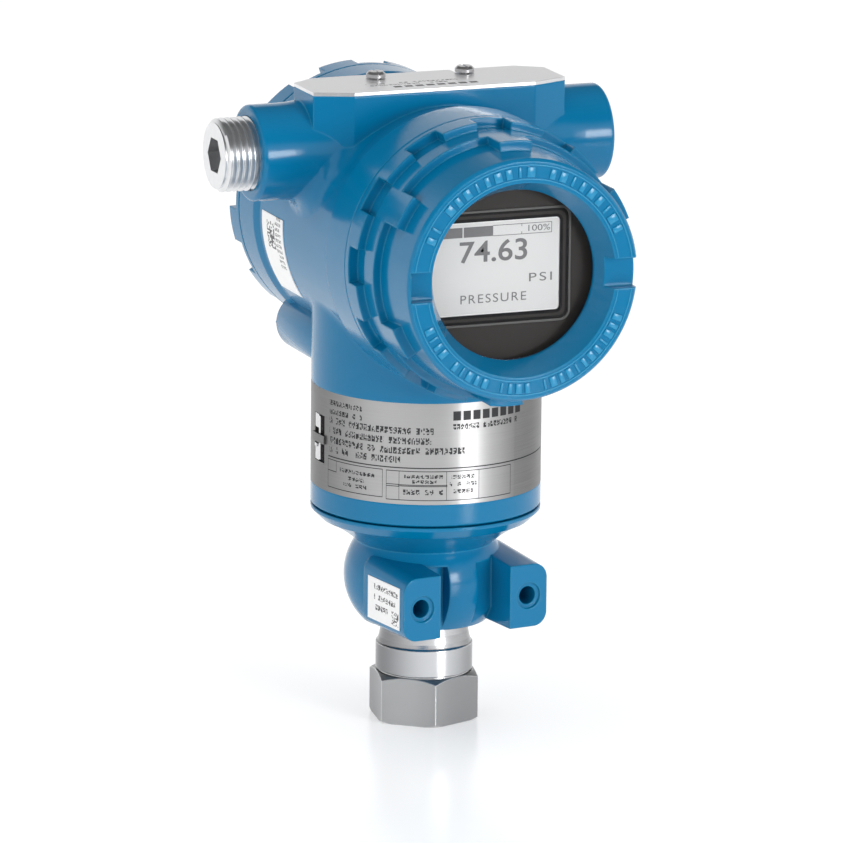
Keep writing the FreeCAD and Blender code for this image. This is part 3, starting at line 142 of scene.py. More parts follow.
class Finish:
    """A material built of nodes round one shader."""

    def __init__(self, name):
        self.material = bpy.data.materials.new(name)
        self.material.use_nodes = True
        self.tree = self.material.node_tree
        self.shader = self.tree.nodes["Principled BSDF"]
        self.output = self.tree.nodes["Material Output"]
        self.place = self.node("ShaderNodeTexCoord", output="Object")

    def node(self, kind, settings=None, sockets=None, output=0):
        made = self.tree.nodes.new(kind)
        for name, value in (settings or {}).items():
            setattr(made, name, value)
        for name, value in (sockets or {}).items():
            self.feed(made.inputs[name], value)
        return Value(self, made.outputs[output])

    def feed(self, socket, value):
        if isinstance(value, Value):
            self.tree.links.new(value.socket, socket)
        else:
            socket.default_value = value

    def shade(self, **sockets):
        for name, value in sockets.items():
            self.feed(self.shader.inputs[name.replace("_", " ")], value)

    def noise(self, scale, detail=2.0, roughness=0.5, place=None):
        return self.node("ShaderNodeTexNoise", None, {
            "Vector": place or self.place, "Scale": scale, "Detail": detail, "Roughness": roughness})

    def stretched(self, scale):
        """The place on the piece, scaled by a vector, for brush marks."""
        return self.node("ShaderNodeMapping", None, {"Vector": self.place, "Scale": scale})

    def turned(self, angle):
        """The place on the piece, turned about Z."""
        return self.node("ShaderNodeMapping", None, {"Vector": self.place, "Rotation": (0, 0, angle)})

    def axes(self, place=None):
        vector = place or self.place
        made = self.node("ShaderNodeSeparateXYZ", None, {0: vector})
        node = made.socket.node
        return [Value(self, node.outputs[name]) for name in ("X", "Y", "Z")]

    def mix(self, factor, first, second):
        return self.node("ShaderNodeMix", {"data_type": "RGBA"}, {
            0: factor, 6: wide(first), 7: wide(second)}, output=2)

    def bump(self, height, distance, strength=1.0, normal=None):
        sockets = {"Height": height, "Distance": distance, "Strength": strength}
        if normal:
            sockets["Normal"] = normal
        return self.node("ShaderNodeBump", None, sockets)

    def rounded(self, radius):
        """A normal that runs softly round the edges."""
        return self.node("ShaderNodeBevel", {"samples": 6}, {"Radius": radius})

    def edge_highlight_share(self, soft):
        """How near a sharp edge the surface is, from 0 to 1, told by its soft normal; it places painted
        highlights along the edges.
        """
        plain = self.node("ShaderNodeNewGeometry", output="Normal")
        match = self.node("ShaderNodeVectorMath", {"operation": "DOT_PRODUCT"}, {0: soft, 1: plain},
                          output="Value")
        return ((1 - match) * EDGE_GAIN - EDGE_START | 0.0) & 1.0

    def dice(self, column, row, seed=0.0):
        """A random number from 0 to 1 for each column and row."""
        spot = self.node("ShaderNodeCombineXYZ", None, {0: column, 1: row, 2: seed})
        return self.node("ShaderNodeTexWhiteNoise", {"noise_dimensions": "3D"}, {"Vector": spot})


def wide(colour):
    """A colour with its alpha, or a value as it is."""
    return colour if isinstance(colour, Value) else tuple(colour) + (1,)


def small_marks(finish, along, up, left, right, base, height, pitch, seed):
    """A line of tiny marks without meaning, in cells of one pitch."""
    inside = along.between(left, right) * up.between(base, base + height)
    cell = (along / pitch).floor()
    column = (along / (pitch / 4)).floor()
    row = ((up - base) / (height / 5)).floor()
    gap = (along / pitch).fraction() < 0.8
    word = finish.dice(cell, seed, 3.0) > 0.12
    return inside * gap * word * (finish.dice(column, row, seed) > 0.34)


def framed(along, up, left, right, base, top, line):
    """The outline of a rectangle, one line wide."""
    outer = along.between(left - line, right + line) * up.between(base - line, top + line)
    inner = along.between(left, right) * up.between(base, top)
    return outer - inner


# Finishes


def blue_paint():
    """Satin blue paint with a slight orange peel, and a painted highlight: a little paler blue along the
    edges.
    """
    finish = Finish("blue_paint")
    broad = finish.noise(45, 3)
    peel = finish.noise(1500, 2)
    speck = finish.noise(420, 4)
    soft = finish.rounded(0.8 * MM)
    colour = finish.mix(broad, (0.0, 0.142, 0.300), (0.0, 0.154, 0.322))
    # Painted highlight: the colour turns paler blue near sharp edges.
    colour = finish.mix(0.5 * finish.edge_highlight_share(soft), colour, (0.01, 0.26, 0.46))
    finish.shade(Base_Color=colour, Roughness=0.15 + 0.03 * speck)
    finish.shade(Normal=finish.bump(peel * 0.7 + speck * 0.3, 0.03 * MM, 0.12, soft))
    finish.shader.inputs["IOR"].default_value = 1.4
    return finish.material


def mark_paint():
    """The paint of the raised marks, paler than the body's blue as a painted highlight on them."""
    finish = Finish("mark_paint")
    speck = finish.noise(420, 2)
    colour = finish.mix(speck, (0.004, 0.20, 0.385), (0.006, 0.215, 0.41))
    finish.shade(Base_Color=colour, Roughness=0.22 + 0.04 * speck, Normal=finish.rounded(0.25 * MM))
    return finish.material


def painted_sheen_round_z(finish, centre, low, high):
    """A painted reflection: a tone that swells and fades round the Z axis, standing in for the room
    mirrored in brushed steel.
    """
    x, y = finish.axes()[:2]
    swell = ((y.angle_over(x) - math.radians(centre)) * 2).cosine()
    share = (swell * 0.5 + 0.5) ** 1.5
    return low + (high - low) * share


def connector_steel():
    finish = Finish("connector_steel")
    rings = finish.noise(1, 3, place=finish.stretched((40, 40, 6000)))
    cloud = finish.noise(300, 3)
    hexagon = finish.axes()[2] < HEXAGON_TOP
    # Painted reflection: the round steel goes from nearly black to nearly white round the Z axis.
    tone = painted_sheen_round_z(finish, 262, 0.20, 0.66)
    round_steel_reflection = finish.mix(tone, (0.02, 0.021, 0.023), (0.95, 0.96, 0.98))
    # Painted shade: the hexagon's faces are lighter on one side and darker on the other, with a random
    # cloud of tone.
    hex_shade_and_cloud = painted_sheen_round_z(finish, 225, 0.0, 0.9) + 0.1 * cloud
    hex_steel_shaded = finish.mix(hex_shade_and_cloud, (0.31, 0.31, 0.315), (0.44, 0.445, 0.45))
    roughness = 0.16 + 0.2 * hexagon + 0.08 * rings
    soft = finish.rounded(0.5 * MM)
    normal = finish.bump(rings, 0.02 * MM, 0.4, soft)
    colour = finish.mix(hexagon, round_steel_reflection, hex_steel_shaded)
    # Painted highlight: the steel is nearly white along its sharp edges.
    colour = finish.mix(finish.edge_highlight_share(soft), colour, (0.93, 0.94, 0.95))
    finish.shade(Base_Color=colour, Metallic=1.0,
                 Roughness=roughness, Normal=normal)
    return finish.material


def plug_steel():
    finish = Finish("plug_steel")
    cloud = finish.noise(500, 4)
    colour = finish.mix(cloud, (0.74, 0.75, 0.76), (0.84, 0.85, 0.86))
    normal = finish.bump(cloud, 0.03 * MM, 0.3, finish.rounded(0.1 * MM))
    finish.shade(Base_Color=colour, Metallic=1.0, Roughness=0.26 + 0.06 * cloud, Normal=normal)
    return finish.material


BAND_ROWS = [
    (192.5, 215.1, 96.3, 1.5), (192.5, 215.1, 93.7, 1.5), (192.5, 252.3, 91.0, 1.9),
    (192.5, 251.2, 88.1, 1.9), (192.5, 268.0, 85.2, 1.9), (192.5, 235.9, 82.5, 1.9),
    (201.0, 222.5, 77.6, 1.1), (206.5, 216.5, 75.6, 1.1), (203.5, 219.5, 73.7, 1.1),
    (238.0, 257.5, 78.2, 1.0), (242.0, 254.0, 76.7, 1.0), (237.5, 257.5, 73.4, 1.5),
    (261.5, 273.5, 78.0, 1.1), (260.5, 274.5, 75.9, 1.1), (262.5, 272.5, 73.8, 1.1),
]
BAND_FRAMES = [
    (191.5, 226.7, 72.35, 80.2), (191.5, 198.2, 77.2, 80.2), (229.0, 295.2, 71.9, 80.1),
    (229.0, 235.3, 76.4, 80.1), (229.0, 235.3, 71.9, 75.6), (235.3, 259.1, 76.0, 76.1),
    (259.1, 275.7, 71.9, 80.1),
]
BAND_BLOCKS = [(262.0 + 5.2 * k, 265.9 + 5.2 * k) for k in range(8)]


def band_print(finish, around, height):
    """Rows of tiny marks and ruled boxes, in degrees and millimetres."""
    ink = around.between(191.5, 331) * height.between(81.0, 81.35)
    for seed, (left, right, base, tall) in enumerate(BAND_ROWS):
        ink = ink | small_marks(finish, around, height, left, right, base, tall, 2.3, seed)
    for left, right, base, top in BAND_FRAMES:
        ink = ink | framed(around, height, left, right, base, top, 0.24)
    for left, right in BAND_BLOCKS:
        ink = ink | (around.between(left, right) * height.between(95.0, 97.7))
    return ink | small_marks(finish, around, height, 262, 300, 92.4, 1.6, 2.0, 40)


def band_steel():
    """Brushed steel with the print of a nameplate, and a painted reflection: a bright streak and a tone
    that swells round the band.
    """
    finish = Finish("band_steel")
    x, y, z = finish.axes()
    angle = y.angle_over(x) * (360 / TURN)
    around = angle + (angle < 0) * 360
    ink = band_print(finish, around, z * 1000)
    grain = finish.noise(1, 4, place=finish.stretched((60, 60, 7000)))
    cloud = finish.noise(120, 2)
    # Painted reflection: a bright streak down the band and a tone swelling round it, with the brush
    # grain on top.
    reflected_streak = around.between(264, 298) * (1 - abs(around - 270) / 30) * ((around - 264) / 3 & 1.0)
    tone = painted_sheen_round_z(finish, 246, 0.12, 0.5) + 0.22 * reflected_streak + 0.1 * (grain - 0.5)
    steel = finish.mix(tone, (0.02, 0.02, 0.02), (1.0, 1.0, 1.0))
    colour = finish.mix(ink * 0.93, steel, (0.012, 0.012, 0.014))
    roughness = 0.3 + 0.1 * cloud + 0.2 * ink
    normal = finish.bump(grain, 0.03 * MM, 0.5)
    finish.shade(Base_Color=colour, Metallic=1 - ink, Roughness=roughness, Normal=normal)
    finish.shader.inputs["IOR"].default_value = 1.2
    return finish.material


def band_edge():
    """The bright cut edge of the band."""
    finish = Finish("band_edge")
    cloud = finish.noise(900, 3)
    colour = finish.mix(cloud, (0.62, 0.62, 0.63), (0.75, 0.75, 0.76))
    finish.shade(Base_Color=colour, Metallic=1.0, Roughness=0.25 + 0.1 * cloud)
    return finish.material


PLATE_BLOCKS = [(-13.6 + 3.3 * k, -11.2 + 3.3 * k) for k in range(8)]


def plate_print(finish):
    """Two rows of tiny marks and one of blocks along the front edge of the plate."""
    x, y, z = finish.axes()
    along, up = x * 1000, y * 1000
    ink = small_marks(finish, along, up, -20, 4, -4.5, 1.2, 1.4, 50)
    ink = ink | small_marks(finish, along, up, -20, 8, -2.2, 1.2, 1.4, 51)
    for left, right in PLATE_BLOCKS:
        ink = ink | (along.between(left, right) * up.between(-8.3, -6.2))
    return ink * (z > PLATE_MARK_LEVEL)


def plate_steel():
    finish = Finish("plate_steel")
    grain = finish.noise(1, 4, place=finish.stretched((60, 7000, 60)))
    ink = plate_print(finish)
    steel = finish.mix(grain, (0.80, 0.80, 0.81), (0.92, 0.92, 0.93))
    colour = finish.mix(ink * 0.9, steel, (0.02, 0.02, 0.022))
    roughness = 0.3 + 0.1 * grain + 0.2 * ink
    normal = finish.bump(grain, 0.03 * MM, 0.4, finish.rounded(0.2 * MM))
    finish.shade(Base_Color=colour, Metallic=1 - ink, Roughness=roughness, Normal=normal)
    return finish.material


def screw_steel():
    finish = Finish("screw_steel")
    cloud = finish.noise(900, 3)
    colour = finish.mix(cloud, (0.5, 0.5, 0.51), (0.62, 0.62, 0.63))
    finish.shade(Base_Color=colour, Metallic=1.0, Roughness=0.24 + 0.14 * cloud,
                 Normal=finish.rounded(0.2 * MM))
    return finish.material


def black_plastic():
    finish = Finish("black_plastic")
    grain = finish.noise(2500, 2)
    broad = finish.noise(80, 2)
    colour = finish.mix(broad, (0.026, 0.0225, 0.021), (0.034, 0.031, 0.029))
    finish.shade(Base_Color=colour, Roughness=0.4 + 0.05 * grain, Normal=finish.rounded(0.3 * MM))
    finish.shader.inputs["IOR"].default_value = 1.3
    return finish.material


def circuit_board():
    finish = Finish("circuit_board")
    x, z = finish.axes()[::2]
    tracks = finish.dice((x / (1.2 * MM)).floor(), (z / (0.8 * MM)).floor()) > 0.7
    colour = finish.mix(tracks, (0.015, 0.12, 0.045), (0.03, 0.2, 0.08))
    finish.shade(Base_Color=colour, Roughness=0.4 - 0.1 * tracks)
    return finish.material


def point_grid(finish, share):
    """The thin lines between the display's picture points."""
    x, z = finish.axes()[::2]
    upright = (x / POINT_PITCH).fraction().between(0.0, share)
    return upright | (z / POINT_PITCH).fraction().between(0.0, share)


def screen_face():
    """The pale face of the display, with a faint grid of its picture points."""
    finish = Finish("screen_face")
    light = finish.mix(point_grid(finish, 0.12), (0.66, 0.66, 0.655), (0.61, 0.61, 0.605))
    finish.shade(Base_Color=light, Roughness=0.3)
    return finish.material


def frame_plastic():
    finish = Finish("frame_plastic")
    broad = finish.noise(80, 2)
    colour = finish.mix(broad, (0.08, 0.08, 0.078), (0.095, 0.094, 0.09))
    finish.shade(Base_Color=colour, Roughness=0.35 + 0.05 * broad, Normal=finish.rounded(0.2 * MM))
    return finish.material


def screen_rim():
    finish = Finish("screen_rim")
    cloud = finish.noise(300, 2)
    white = finish.mix(cloud, (0.88, 0.88, 0.88), (0.93, 0.93, 0.93))
    finish.shade(Base_Color=white, Roughness=0.25)
    return finish.material


def screen_ink():
    finish = Finish("screen_ink")
    ink = finish.mix(point_grid(finish, 0.1), (0.13, 0.13, 0.135), (0.24, 0.24, 0.245))
    finish.shade(Base_Color=ink, Roughness=0.4)
    return finish.material


def window_glass():
    """Clear glass: it lets light through and mirrors a little of the room."""
    finish = Finish("window_glass")
    sheen = finish.node("ShaderNodeFresnel", None, {"IOR": 1.26})
    back = finish.node("ShaderNodeNewGeometry", output="Backfacing")
    clear = finish.node("ShaderNodeBsdfTransparent", None, {"Color": (0.965, 0.965, 0.965, 1)})
    smear = finish.noise(60, 3)
    finish.shade(Base_Color=(1, 1, 1, 1), Metallic=1.0, Roughness=0.02 + 0.03 * smear)
    joined = finish.node("ShaderNodeMixShader", None, {
        0: sheen * (1 - back), 1: clear, 2: Value(finish, finish.shader.outputs[0])})
    finish.feed(finish.output.inputs["Surface"], joined)
    return finish.material


def seal_rubber():
    finish = Finish("seal_rubber")
    grain = finish.noise(1800, 3)
    colour = finish.mix(grain, (0.007, 0.007, 0.0075), (0.018, 0.018, 0.019))
    normal = finish.bump(grain, 0.04 * MM, 0.5)
    finish.shade(Base_Color=colour, Roughness=0.6 + 0.15 * grain, Normal=normal)
    finish.shader.inputs["IOR"].default_value = 1.25
    return finish.material


def label_film(name, along_axis, up_axis, rows, blocks):
    """White label film with rows of tiny marks and blocks of small squares."""
    finish = Finish(name)
    along, up = along_axis(finish), up_axis(finish)
    ink = along.between(0, 0)
    for seed, (left, right, base, tall, pitch) in enumerate(rows):
        ink = ink | small_marks(finish, along, up, left, right, base, tall, pitch, seed)
    for left, right, base, top, cell in blocks:
        squares = finish.dice((along / cell).floor(), (up / cell).floor(), 9.0) > 0.5
        ink = ink | (along.between(left, right) * up.between(base, top) * squares)
    fibre = finish.noise(900, 3)
    white = finish.mix(fibre, (0.82, 0.82, 0.82), (0.88, 0.88, 0.88))
    colour = finish.mix(ink, white, (0.04, 0.04, 0.045))
    finish.shade(Base_Color=colour, Roughness=0.32 + 0.1 * fibre)
    return finish.material


def module_label_film():
    def along(finish):
        return finish.axes(finish.turned(-MODULE_YAW))[1] * -1000

    def up(finish):
        return finish.axes()[2] * 1000

    rows = [(12.6, right, base, 1.6, 1.5) for right, base in ((26.5, 43.2), (25.0, 40.2), (21.0, 37.2))]
    return label_film("module_label_film", along, up, rows, [(23.0, 27.0, 34.9, 38.9, 0.45)])


def housing_label_film():
    def along(finish):
        return finish.axes()[1] * 1000

    def up(finish):
        x, z = finish.axes()[::2]
        return ((z - BARREL_HEIGHT) * -1).angle_over(x * -1) * 57.3

    rows = [(18.0, 22.4, -8.0 + 2.4 * k, 1.5, 0.9) for k in range(12)]
    return label_film("housing_label_film", along, up, rows, [(23.0, 29.0, 0.0, 12.0, 0.75)])


def sealing_tape():
    finish = Finish("sealing_tape")
    wrap = finish.noise(1, 3, place=finish.stretched((2500, 300, 300)))
    colour = finish.mix(wrap, (0.78, 0.78, 0.77), (0.86, 0.86, 0.85))
    normal = finish.bump(wrap, 0.05 * MM, 0.5)
    finish.shade(Base_Color=colour, Roughness=0.5 + 0.1 * wrap, Normal=normal)
    return finish.material


def ribbon_film():
    finish = Finish("ribbon_film")
    lines = (finish.axes()[0] / MM).fraction() < 0.5
    colour = finish.mix(lines, (0.30, 0.16, 0.035), (0.42, 0.24, 0.06))
    finish.shade(Base_Color=colour, Roughness=0.4)
    return finish.material


def terminal_brass():
    finish = Finish("terminal_brass")
    cloud = finish.noise(700, 3)
    colour = finish.mix(cloud, (0.58, 0.46, 0.24), (0.7, 0.58, 0.34))
    finish.shade(Base_Color=colour, Metallic=1.0, Roughness=0.28 + 0.12 * cloud)
    return finish.material


FINISHES = {
    "blue_paint": blue_paint(),
    "mark_paint": mark_paint(),
    "connector_steel": connector_steel(),
    "plug_steel": plug_steel(),
    "band_steel": band_steel(),
    "band_edge": band_edge(),
    "plate_steel": plate_steel(),
    "screw_steel": screw_steel(),
    "black_plastic": black_plastic(),
    "circuit_board": circuit_board(),
    "screen_face": screen_face(),
    "frame_plastic": frame_plastic(),
    "screen_rim": screen_rim(),
    "screen_ink": screen_ink(),
    "window_glass": window_glass(),
    "seal_rubber": seal_rubber(),
    "module_label_film": module_label_film(),
    "housing_label_film": housing_label_film(),
    "sealing_tape": sealing_tape(),
    "ribbon_film": ribbon_film(),
    "terminal_brass": terminal_brass(),
}
OWN_FINISH = {
    "top_plate": "plate_steel",
    "module_label": "module_label_film",
    "housing_label": "housing_label_film",
    "plug_thread_seal": "sealing_tape",
}


def dress_nodes():
    """Every CAD node takes the finish of its material slot, or its own."""
    slots = {part["node"]: part["material_slot"] for part in frame["record"]["subparts"]}
    for name, piece in frame["nodes"].items():
        finish = FINISHES[OWN_FINISH.get(name, slots[name])]
        piece.data.materials.clear()
        piece.data.materials.append(finish)


# Pieces


SHARP_ANGLE = math.radians(35)
WELD = 0.001 * MM


def mesh_of(name, shape):
    mesh = bpy.data.meshes.new(name)
    shape.to_mesh(mesh)
    shape.free()
    return mesh


def shown(name, mesh):
    """A new object in the scene with this mesh."""
    piece = bpy.data.objects.new(name, mesh)
    bpy.context.scene.collection.objects.link(piece)
    return piece


def finished(name, shape, body, finish):
    """A piece from its shape: facing outwards, smooth, on its body and in its finish."""
    bmesh.ops.recalc_face_normals(shape, faces=shape.faces)
    mesh = mesh_of(name, shape)
    mesh.shade_smooth()
    mesh.set_sharp_from_angle(angle=SHARP_ANGLE)
    return placed(name, mesh, body, finish)


def placed(name, mesh, body, finish):
    piece = shown(name, mesh)
    mesh.materials.clear()
    mesh.materials.append(FINISHES[finish])
    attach(piece, body)
    return piece


def chain(shape, points):
    """Edges from point to point."""
    spots = [shape.verts.new(point) for point in points]
    edges = [shape.edges.new(pair) for pair in zip(spots, spots[1:])]
    return spots + edges


def cut_with(name, mesh, cutter):
    """The mesh after a cut by another one."""
    whole = shown(name, mesh)
    tool = shown(name + "_tool", cutter)
    step = whole.modifiers.new("cut", "BOOLEAN")
    step.operation = "DIFFERENCE"
    step.solver = "EXACT"
    step.object = tool
    graph = bpy.context.evaluated_depsgraph_get()
    result = bpy.data.meshes.new_from_object(whole.evaluated_get(graph))
    for thing in (whole, tool):
        bpy.data.objects.remove(thing)
    return result


PLUG_TIP = -63.8 * MM
PLUG_BACK = -53.1 * MM
PLUG_RADIUS = 10.62 * MM
THREAD_PITCH = 1.814 * MM
THREAD_DEPTH = 1.2 * MM
PLUG_CHAMFER = 1.1 * MM
SOCKET_RADIUS = 9.53 * MM / 2 / math.cos(math.pi / 6)
SOCKET_DEPTH = 8 * MM
THREAD_PROFILE = [(0.0, 0.0), (0.08, 0.0), (0.42, 1.0), (0.56, 1.0), (0.92, 0.0)]
THREAD_STEPS = 96


def thread_points():
    """The thread's section, one turn after another along the plug."""
    points = []
    for turn in range(-1, int((PLUG_BACK - PLUG_TIP) / THREAD_PITCH) + 3):
        for share, rise in THREAD_PROFILE:
            along = PLUG_TIP + (turn + share) * THREAD_PITCH
            points.append((along, 0, PLUG_RADIUS - THREAD_DEPTH * (1 - rise)))
    return points


def plug_key():
    """The hexagon key that leaves its socket in the plug."""
    key = bmesh.new()
    bmesh.ops.create_cone(key, cap_ends=True, segments=6, radius1=SOCKET_RADIUS, radius2=SOCKET_RADIUS,
                          depth=2 * SOCKET_DEPTH)
    bmesh.ops.rotate(key, verts=key.verts, matrix=Matrix.Rotation(math.pi / 2, 3, "Y"))
    bmesh.ops.translate(key, verts=key.verts, vec=CROSSBODY_CENTRE + Vector((PLUG_TIP, 0, 0)))
    return mesh_of("plug_key", key)


def trim_ends(shape):
    """Cut the thread off square at both ends and close them."""
    for end, outward in ((PLUG_TIP, -1), (PLUG_BACK, 1)):
        bmesh.ops.bisect_plane(shape, geom=shape.verts[:] + shape.edges[:] + shape.faces[:],
                               plane_co=(end, 0, 0), plane_no=(outward, 0, 0), clear_outer=True)
    rim = [edge for edge in shape.edges if edge.is_boundary]
    bmesh.ops.holes_fill(shape, edges=rim)


def chamfer_tip(shape):
    """Press the thread's first ribs into a cone at the tip."""
    for vert in shape.verts:
        radius = math.hypot(vert.co.y, vert.co.z)
        limit = PLUG_RADIUS - PLUG_CHAMFER + (vert.co.x - PLUG_TIP)
        if radius > limit:
            vert.co.y *= limit / radius
            vert.co.z *= limit / radius


def threaded_plug():
    """The plug's threaded end with its hexagon socket."""
    shape = bmesh.new()
    bmesh.ops.spin(shape, geom=chain(shape, thread_points()), cent=(0, 0, 0), axis=(1, 0, 0), angle=TURN,
                   dvec=(THREAD_PITCH / THREAD_STEPS, 0, 0), steps=THREAD_STEPS)
    bmesh.ops.remove_doubles(shape, verts=shape.verts, dist=WELD)
    trim_ends(shape)
    chamfer_tip(shape)
    bmesh.ops.recalc_face_normals(shape, faces=shape.faces)
    bmesh.ops.translate(shape, verts=shape.verts, vec=CROSSBODY_CENTRE)
    mesh = cut_with("plug_cut", mesh_of("threaded_plug", shape), plug_key())
    mesh.shade_smooth()
    mesh.set_sharp_from_angle(angle=SHARP_ANGLE)
    piece = placed("threaded_plug", mesh, "plug", "plug_steel")
    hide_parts("conduit_plug")


SCREEN_FRONT = -60.7 * MM
INK_THICKNESS = 0.05 * MM
TEXT_THICKNESS = 0.01
BAR_LINES = [
    (-21.5, -13.5, 154.1, 157.0), (-13.1, -4.3, 154.1, 157.0), (-4.3, 13.4, 156.95, 157.12),
    (-4.3, 13.4, 154.0, 154.17), (13.25, 13.42, 154.0, 157.12), (4.25, 4.42, 156.3, 157.12),
    (4.25, 4.42, 154.0, 154.8),
]
SCREEN_WORDS = [
    ("screen_reading", "74.63", (-14.3, 6.05, 146.75, 152.95), 0.012, 1.0),
    ("screen_share", "100%", (6.3, 12.9, 154.75, 156.5), 0.0, 1.0),
    ("screen_unit", "PSI", (6.7, 13.6, 140.3, 142.75), 0.0, 1.25),
    ("screen_quantity", "PRESSURE", (-13.9, 5.9, 135.15, 137.65), 0.0, 1.2),
]


def ink_bar(shape, left, right, base, top):
    """One printed rectangle on the screen's face, in millimetres."""
    made = bmesh.ops.create_cube(shape, size=1)["verts"]
    size = ((right - left) * MM, 2 * INK_THICKNESS, (top - base) * MM)
    bmesh.ops.scale(shape, verts=made, vec=size)
    bmesh.ops.translate(shape, verts=made, vec=Vector((
        (left + right) / 2 * MM, SCREEN_FRONT, (base + top) / 2 * MM)))


def screen_bar():
    """The bar graph across the top of the screen."""
    shape = bmesh.new()
    for line in BAR_LINES:
        ink_bar(shape, *line)
    finished("screen_bar", shape, "upper_housing", "screen_ink")


def screen_text(name, words, field, weight, spread):
    """Printed figures that fill a rectangle of the screen, in millimetres."""
    left, right, base, top = field
    letters = bpy.data.curves.new(name, "FONT")
    letters.body = words
    letters.size = 1
    letters.offset = weight
    letters.space_character = spread
    letters.extrude = TEXT_THICKNESS
    flat = shown(name + "_curve", letters)
    graph = bpy.context.evaluated_depsgraph_get()
    mesh = bpy.data.meshes.new_from_object(flat.evaluated_get(graph))
    bpy.data.objects.remove(flat)
    xs = [vert.co.x for vert in mesh.vertices]
    ys = [vert.co.y for vert in mesh.vertices]
    wide_scale = (right - left) * MM / (max(xs) - min(xs))
    tall_scale = (top - base) * MM / (max(ys) - min(ys))
    mesh.transform(Matrix.Translation((-min(xs), -min(ys), 0)))
    thick_scale = INK_THICKNESS / (2 * TEXT_THICKNESS)
    mesh.transform(Matrix.Diagonal((wide_scale, tall_scale, thick_scale, 1)))
    mesh.transform(Matrix.Rotation(math.pi / 2, 4, "X"))
    mesh.transform(Matrix.Translation((left * MM, SCREEN_FRONT, base * MM)))
    placed(name, mesh, "upper_housing", "screen_ink")


def screen_readout():
    screen_bar()
    for words in SCREEN_WORDS:
        screen_text(*words)


BEZEL_FRONT = -61.1 * MM
SCREEN_CENTRE = Vector((-3.5, 0, 145.15)) * MM
SCREEN_HALF_WIDTH = 19.5 * MM
SCREEN_HALF_HEIGHT = 13.55 * MM
DISPLAY_RIMS = [
    ("display_frame", "frame_plastic", "black_plastic", BEZEL_FRONT, [(2.3, 0.6, 3.0, 0.4)]),
    ("display_gaps", "seal_rubber", "black_plastic", BEZEL_FRONT, [
        (1.5, 0.7, 2.6, 0.06), (-0.3, 0.9, 2.0, 0.06)]),
    ("screen_rim", "screen_rim", "screen_face", SCREEN_FRONT, [(-0.6, 0.32, 1.3, 0.08)]),
]


def rim_of(shape, base, reach, width, corner, rise):
    """A raised rounded frame round the screen, its inner edge a set reach outside the screen."""
    grid = bmesh.ops.create_grid(shape, x_segments=1, y_segments=1, size=1)["verts"]
    wide_half = SCREEN_HALF_WIDTH + reach + width
    tall_half = SCREEN_HALF_HEIGHT + reach + width
    bmesh.ops.scale(shape, verts=grid, vec=(wide_half, tall_half, 1))
    bmesh.ops.rotate(shape, verts=grid, matrix=Matrix.Rotation(math.pi / 2, 3, "X"))
    bmesh.ops.bevel(shape, geom=grid, affect="VERTICES", offset=corner, segments=6, profile=0.5,
                    material=-1)
    middle = [face for face in shape.faces if len(face.verts) > 8][-1]
    ring = bmesh.ops.inset_region(shape, faces=[middle], thickness=width,
                                  use_boundary=True, use_even_offset=True)["faces"]
    bmesh.ops.delete(shape, geom=[middle], context="FACES")
    raised = bmesh.ops.extrude_face_region(shape, geom=ring)["geom"]
    upper = [part for part in raised if isinstance(part, bmesh.types.BMVert)]
    bmesh.ops.translate(shape, verts=upper, vec=(0, -rise, 0))
    whole = {vert for face in ring for vert in face.verts} | set(upper)
    bmesh.ops.translate(shape, verts=list(whole), vec=SCREEN_CENTRE + Vector((0, base, 0)))


def display_frames():
    """The raised frame round the screen, the dark gaps beside it and the bright rim at its edge."""
    for name, finish, slot, base, rims in DISPLAY_RIMS:
        shape = bmesh.new()
        for sizes in rims:
            rim_of(shape, base, *(size * MM for size in sizes))
        finished(name, shape, "upper_housing", finish)


MARK_RADIUS = 30.75
MARK_THICKNESS = 0.8
MARK_LENGTH = 2.9
MARK_EDGE = 0.12
LOW_MARK_SHARE = 0.8
MARK_WIDTHS = [1.9, 0.8, 2.4, 1.7, 2.2, 0.8, 1.5, 2.3]
TOP_MARKS = [155 - 6.2 * k for k in range(22) if k not in (2, 12)]
LOW_MARKS = [-156 + 4.9 * k for k in range(28) if k not in (4, 10, 15)]
LINE_SECTION = [(-0.26, 0.1), (-0.18, -0.18), (0.18, -0.18), (0.26, 0.1)]
NOTCH_EDGE = {28.75: 9.0, 32.75: 7.9}


def ring_marks():
    """Small raised bars without meaning, in two rows round the face of the front ring."""
    shape = bmesh.new()
    centre = Vector((0, RING_FACE, BARREL_HEIGHT))
    for index, angle in enumerate(TOP_MARKS + LOW_MARKS):
        width = MARK_WIDTHS[index % len(MARK_WIDTHS)] * (1.0 if angle > 0 else LOW_MARK_SHARE)
        made = bmesh.ops.create_cube(shape, size=1)["verts"]
        bmesh.ops.scale(shape, verts=made, vec=Vector((width, MARK_THICKNESS, MARK_LENGTH)) * MM)
        bmesh.ops.translate(shape, verts=made, vec=Vector((0, 0, MARK_RADIUS)) * MM)
        turn = Matrix.Rotation(math.radians(90 - angle), 3, "Y")
        bmesh.ops.rotate(shape, verts=made, matrix=turn)
        bmesh.ops.translate(shape, verts=made, vec=centre)
    bmesh.ops.bevel(shape, geom=shape.edges[:], affect="EDGES", offset=MARK_EDGE * MM, segments=2,
                    profile=0.5, material=-1)
    finished("ring_marks", shape, "front_cap", "mark_paint")


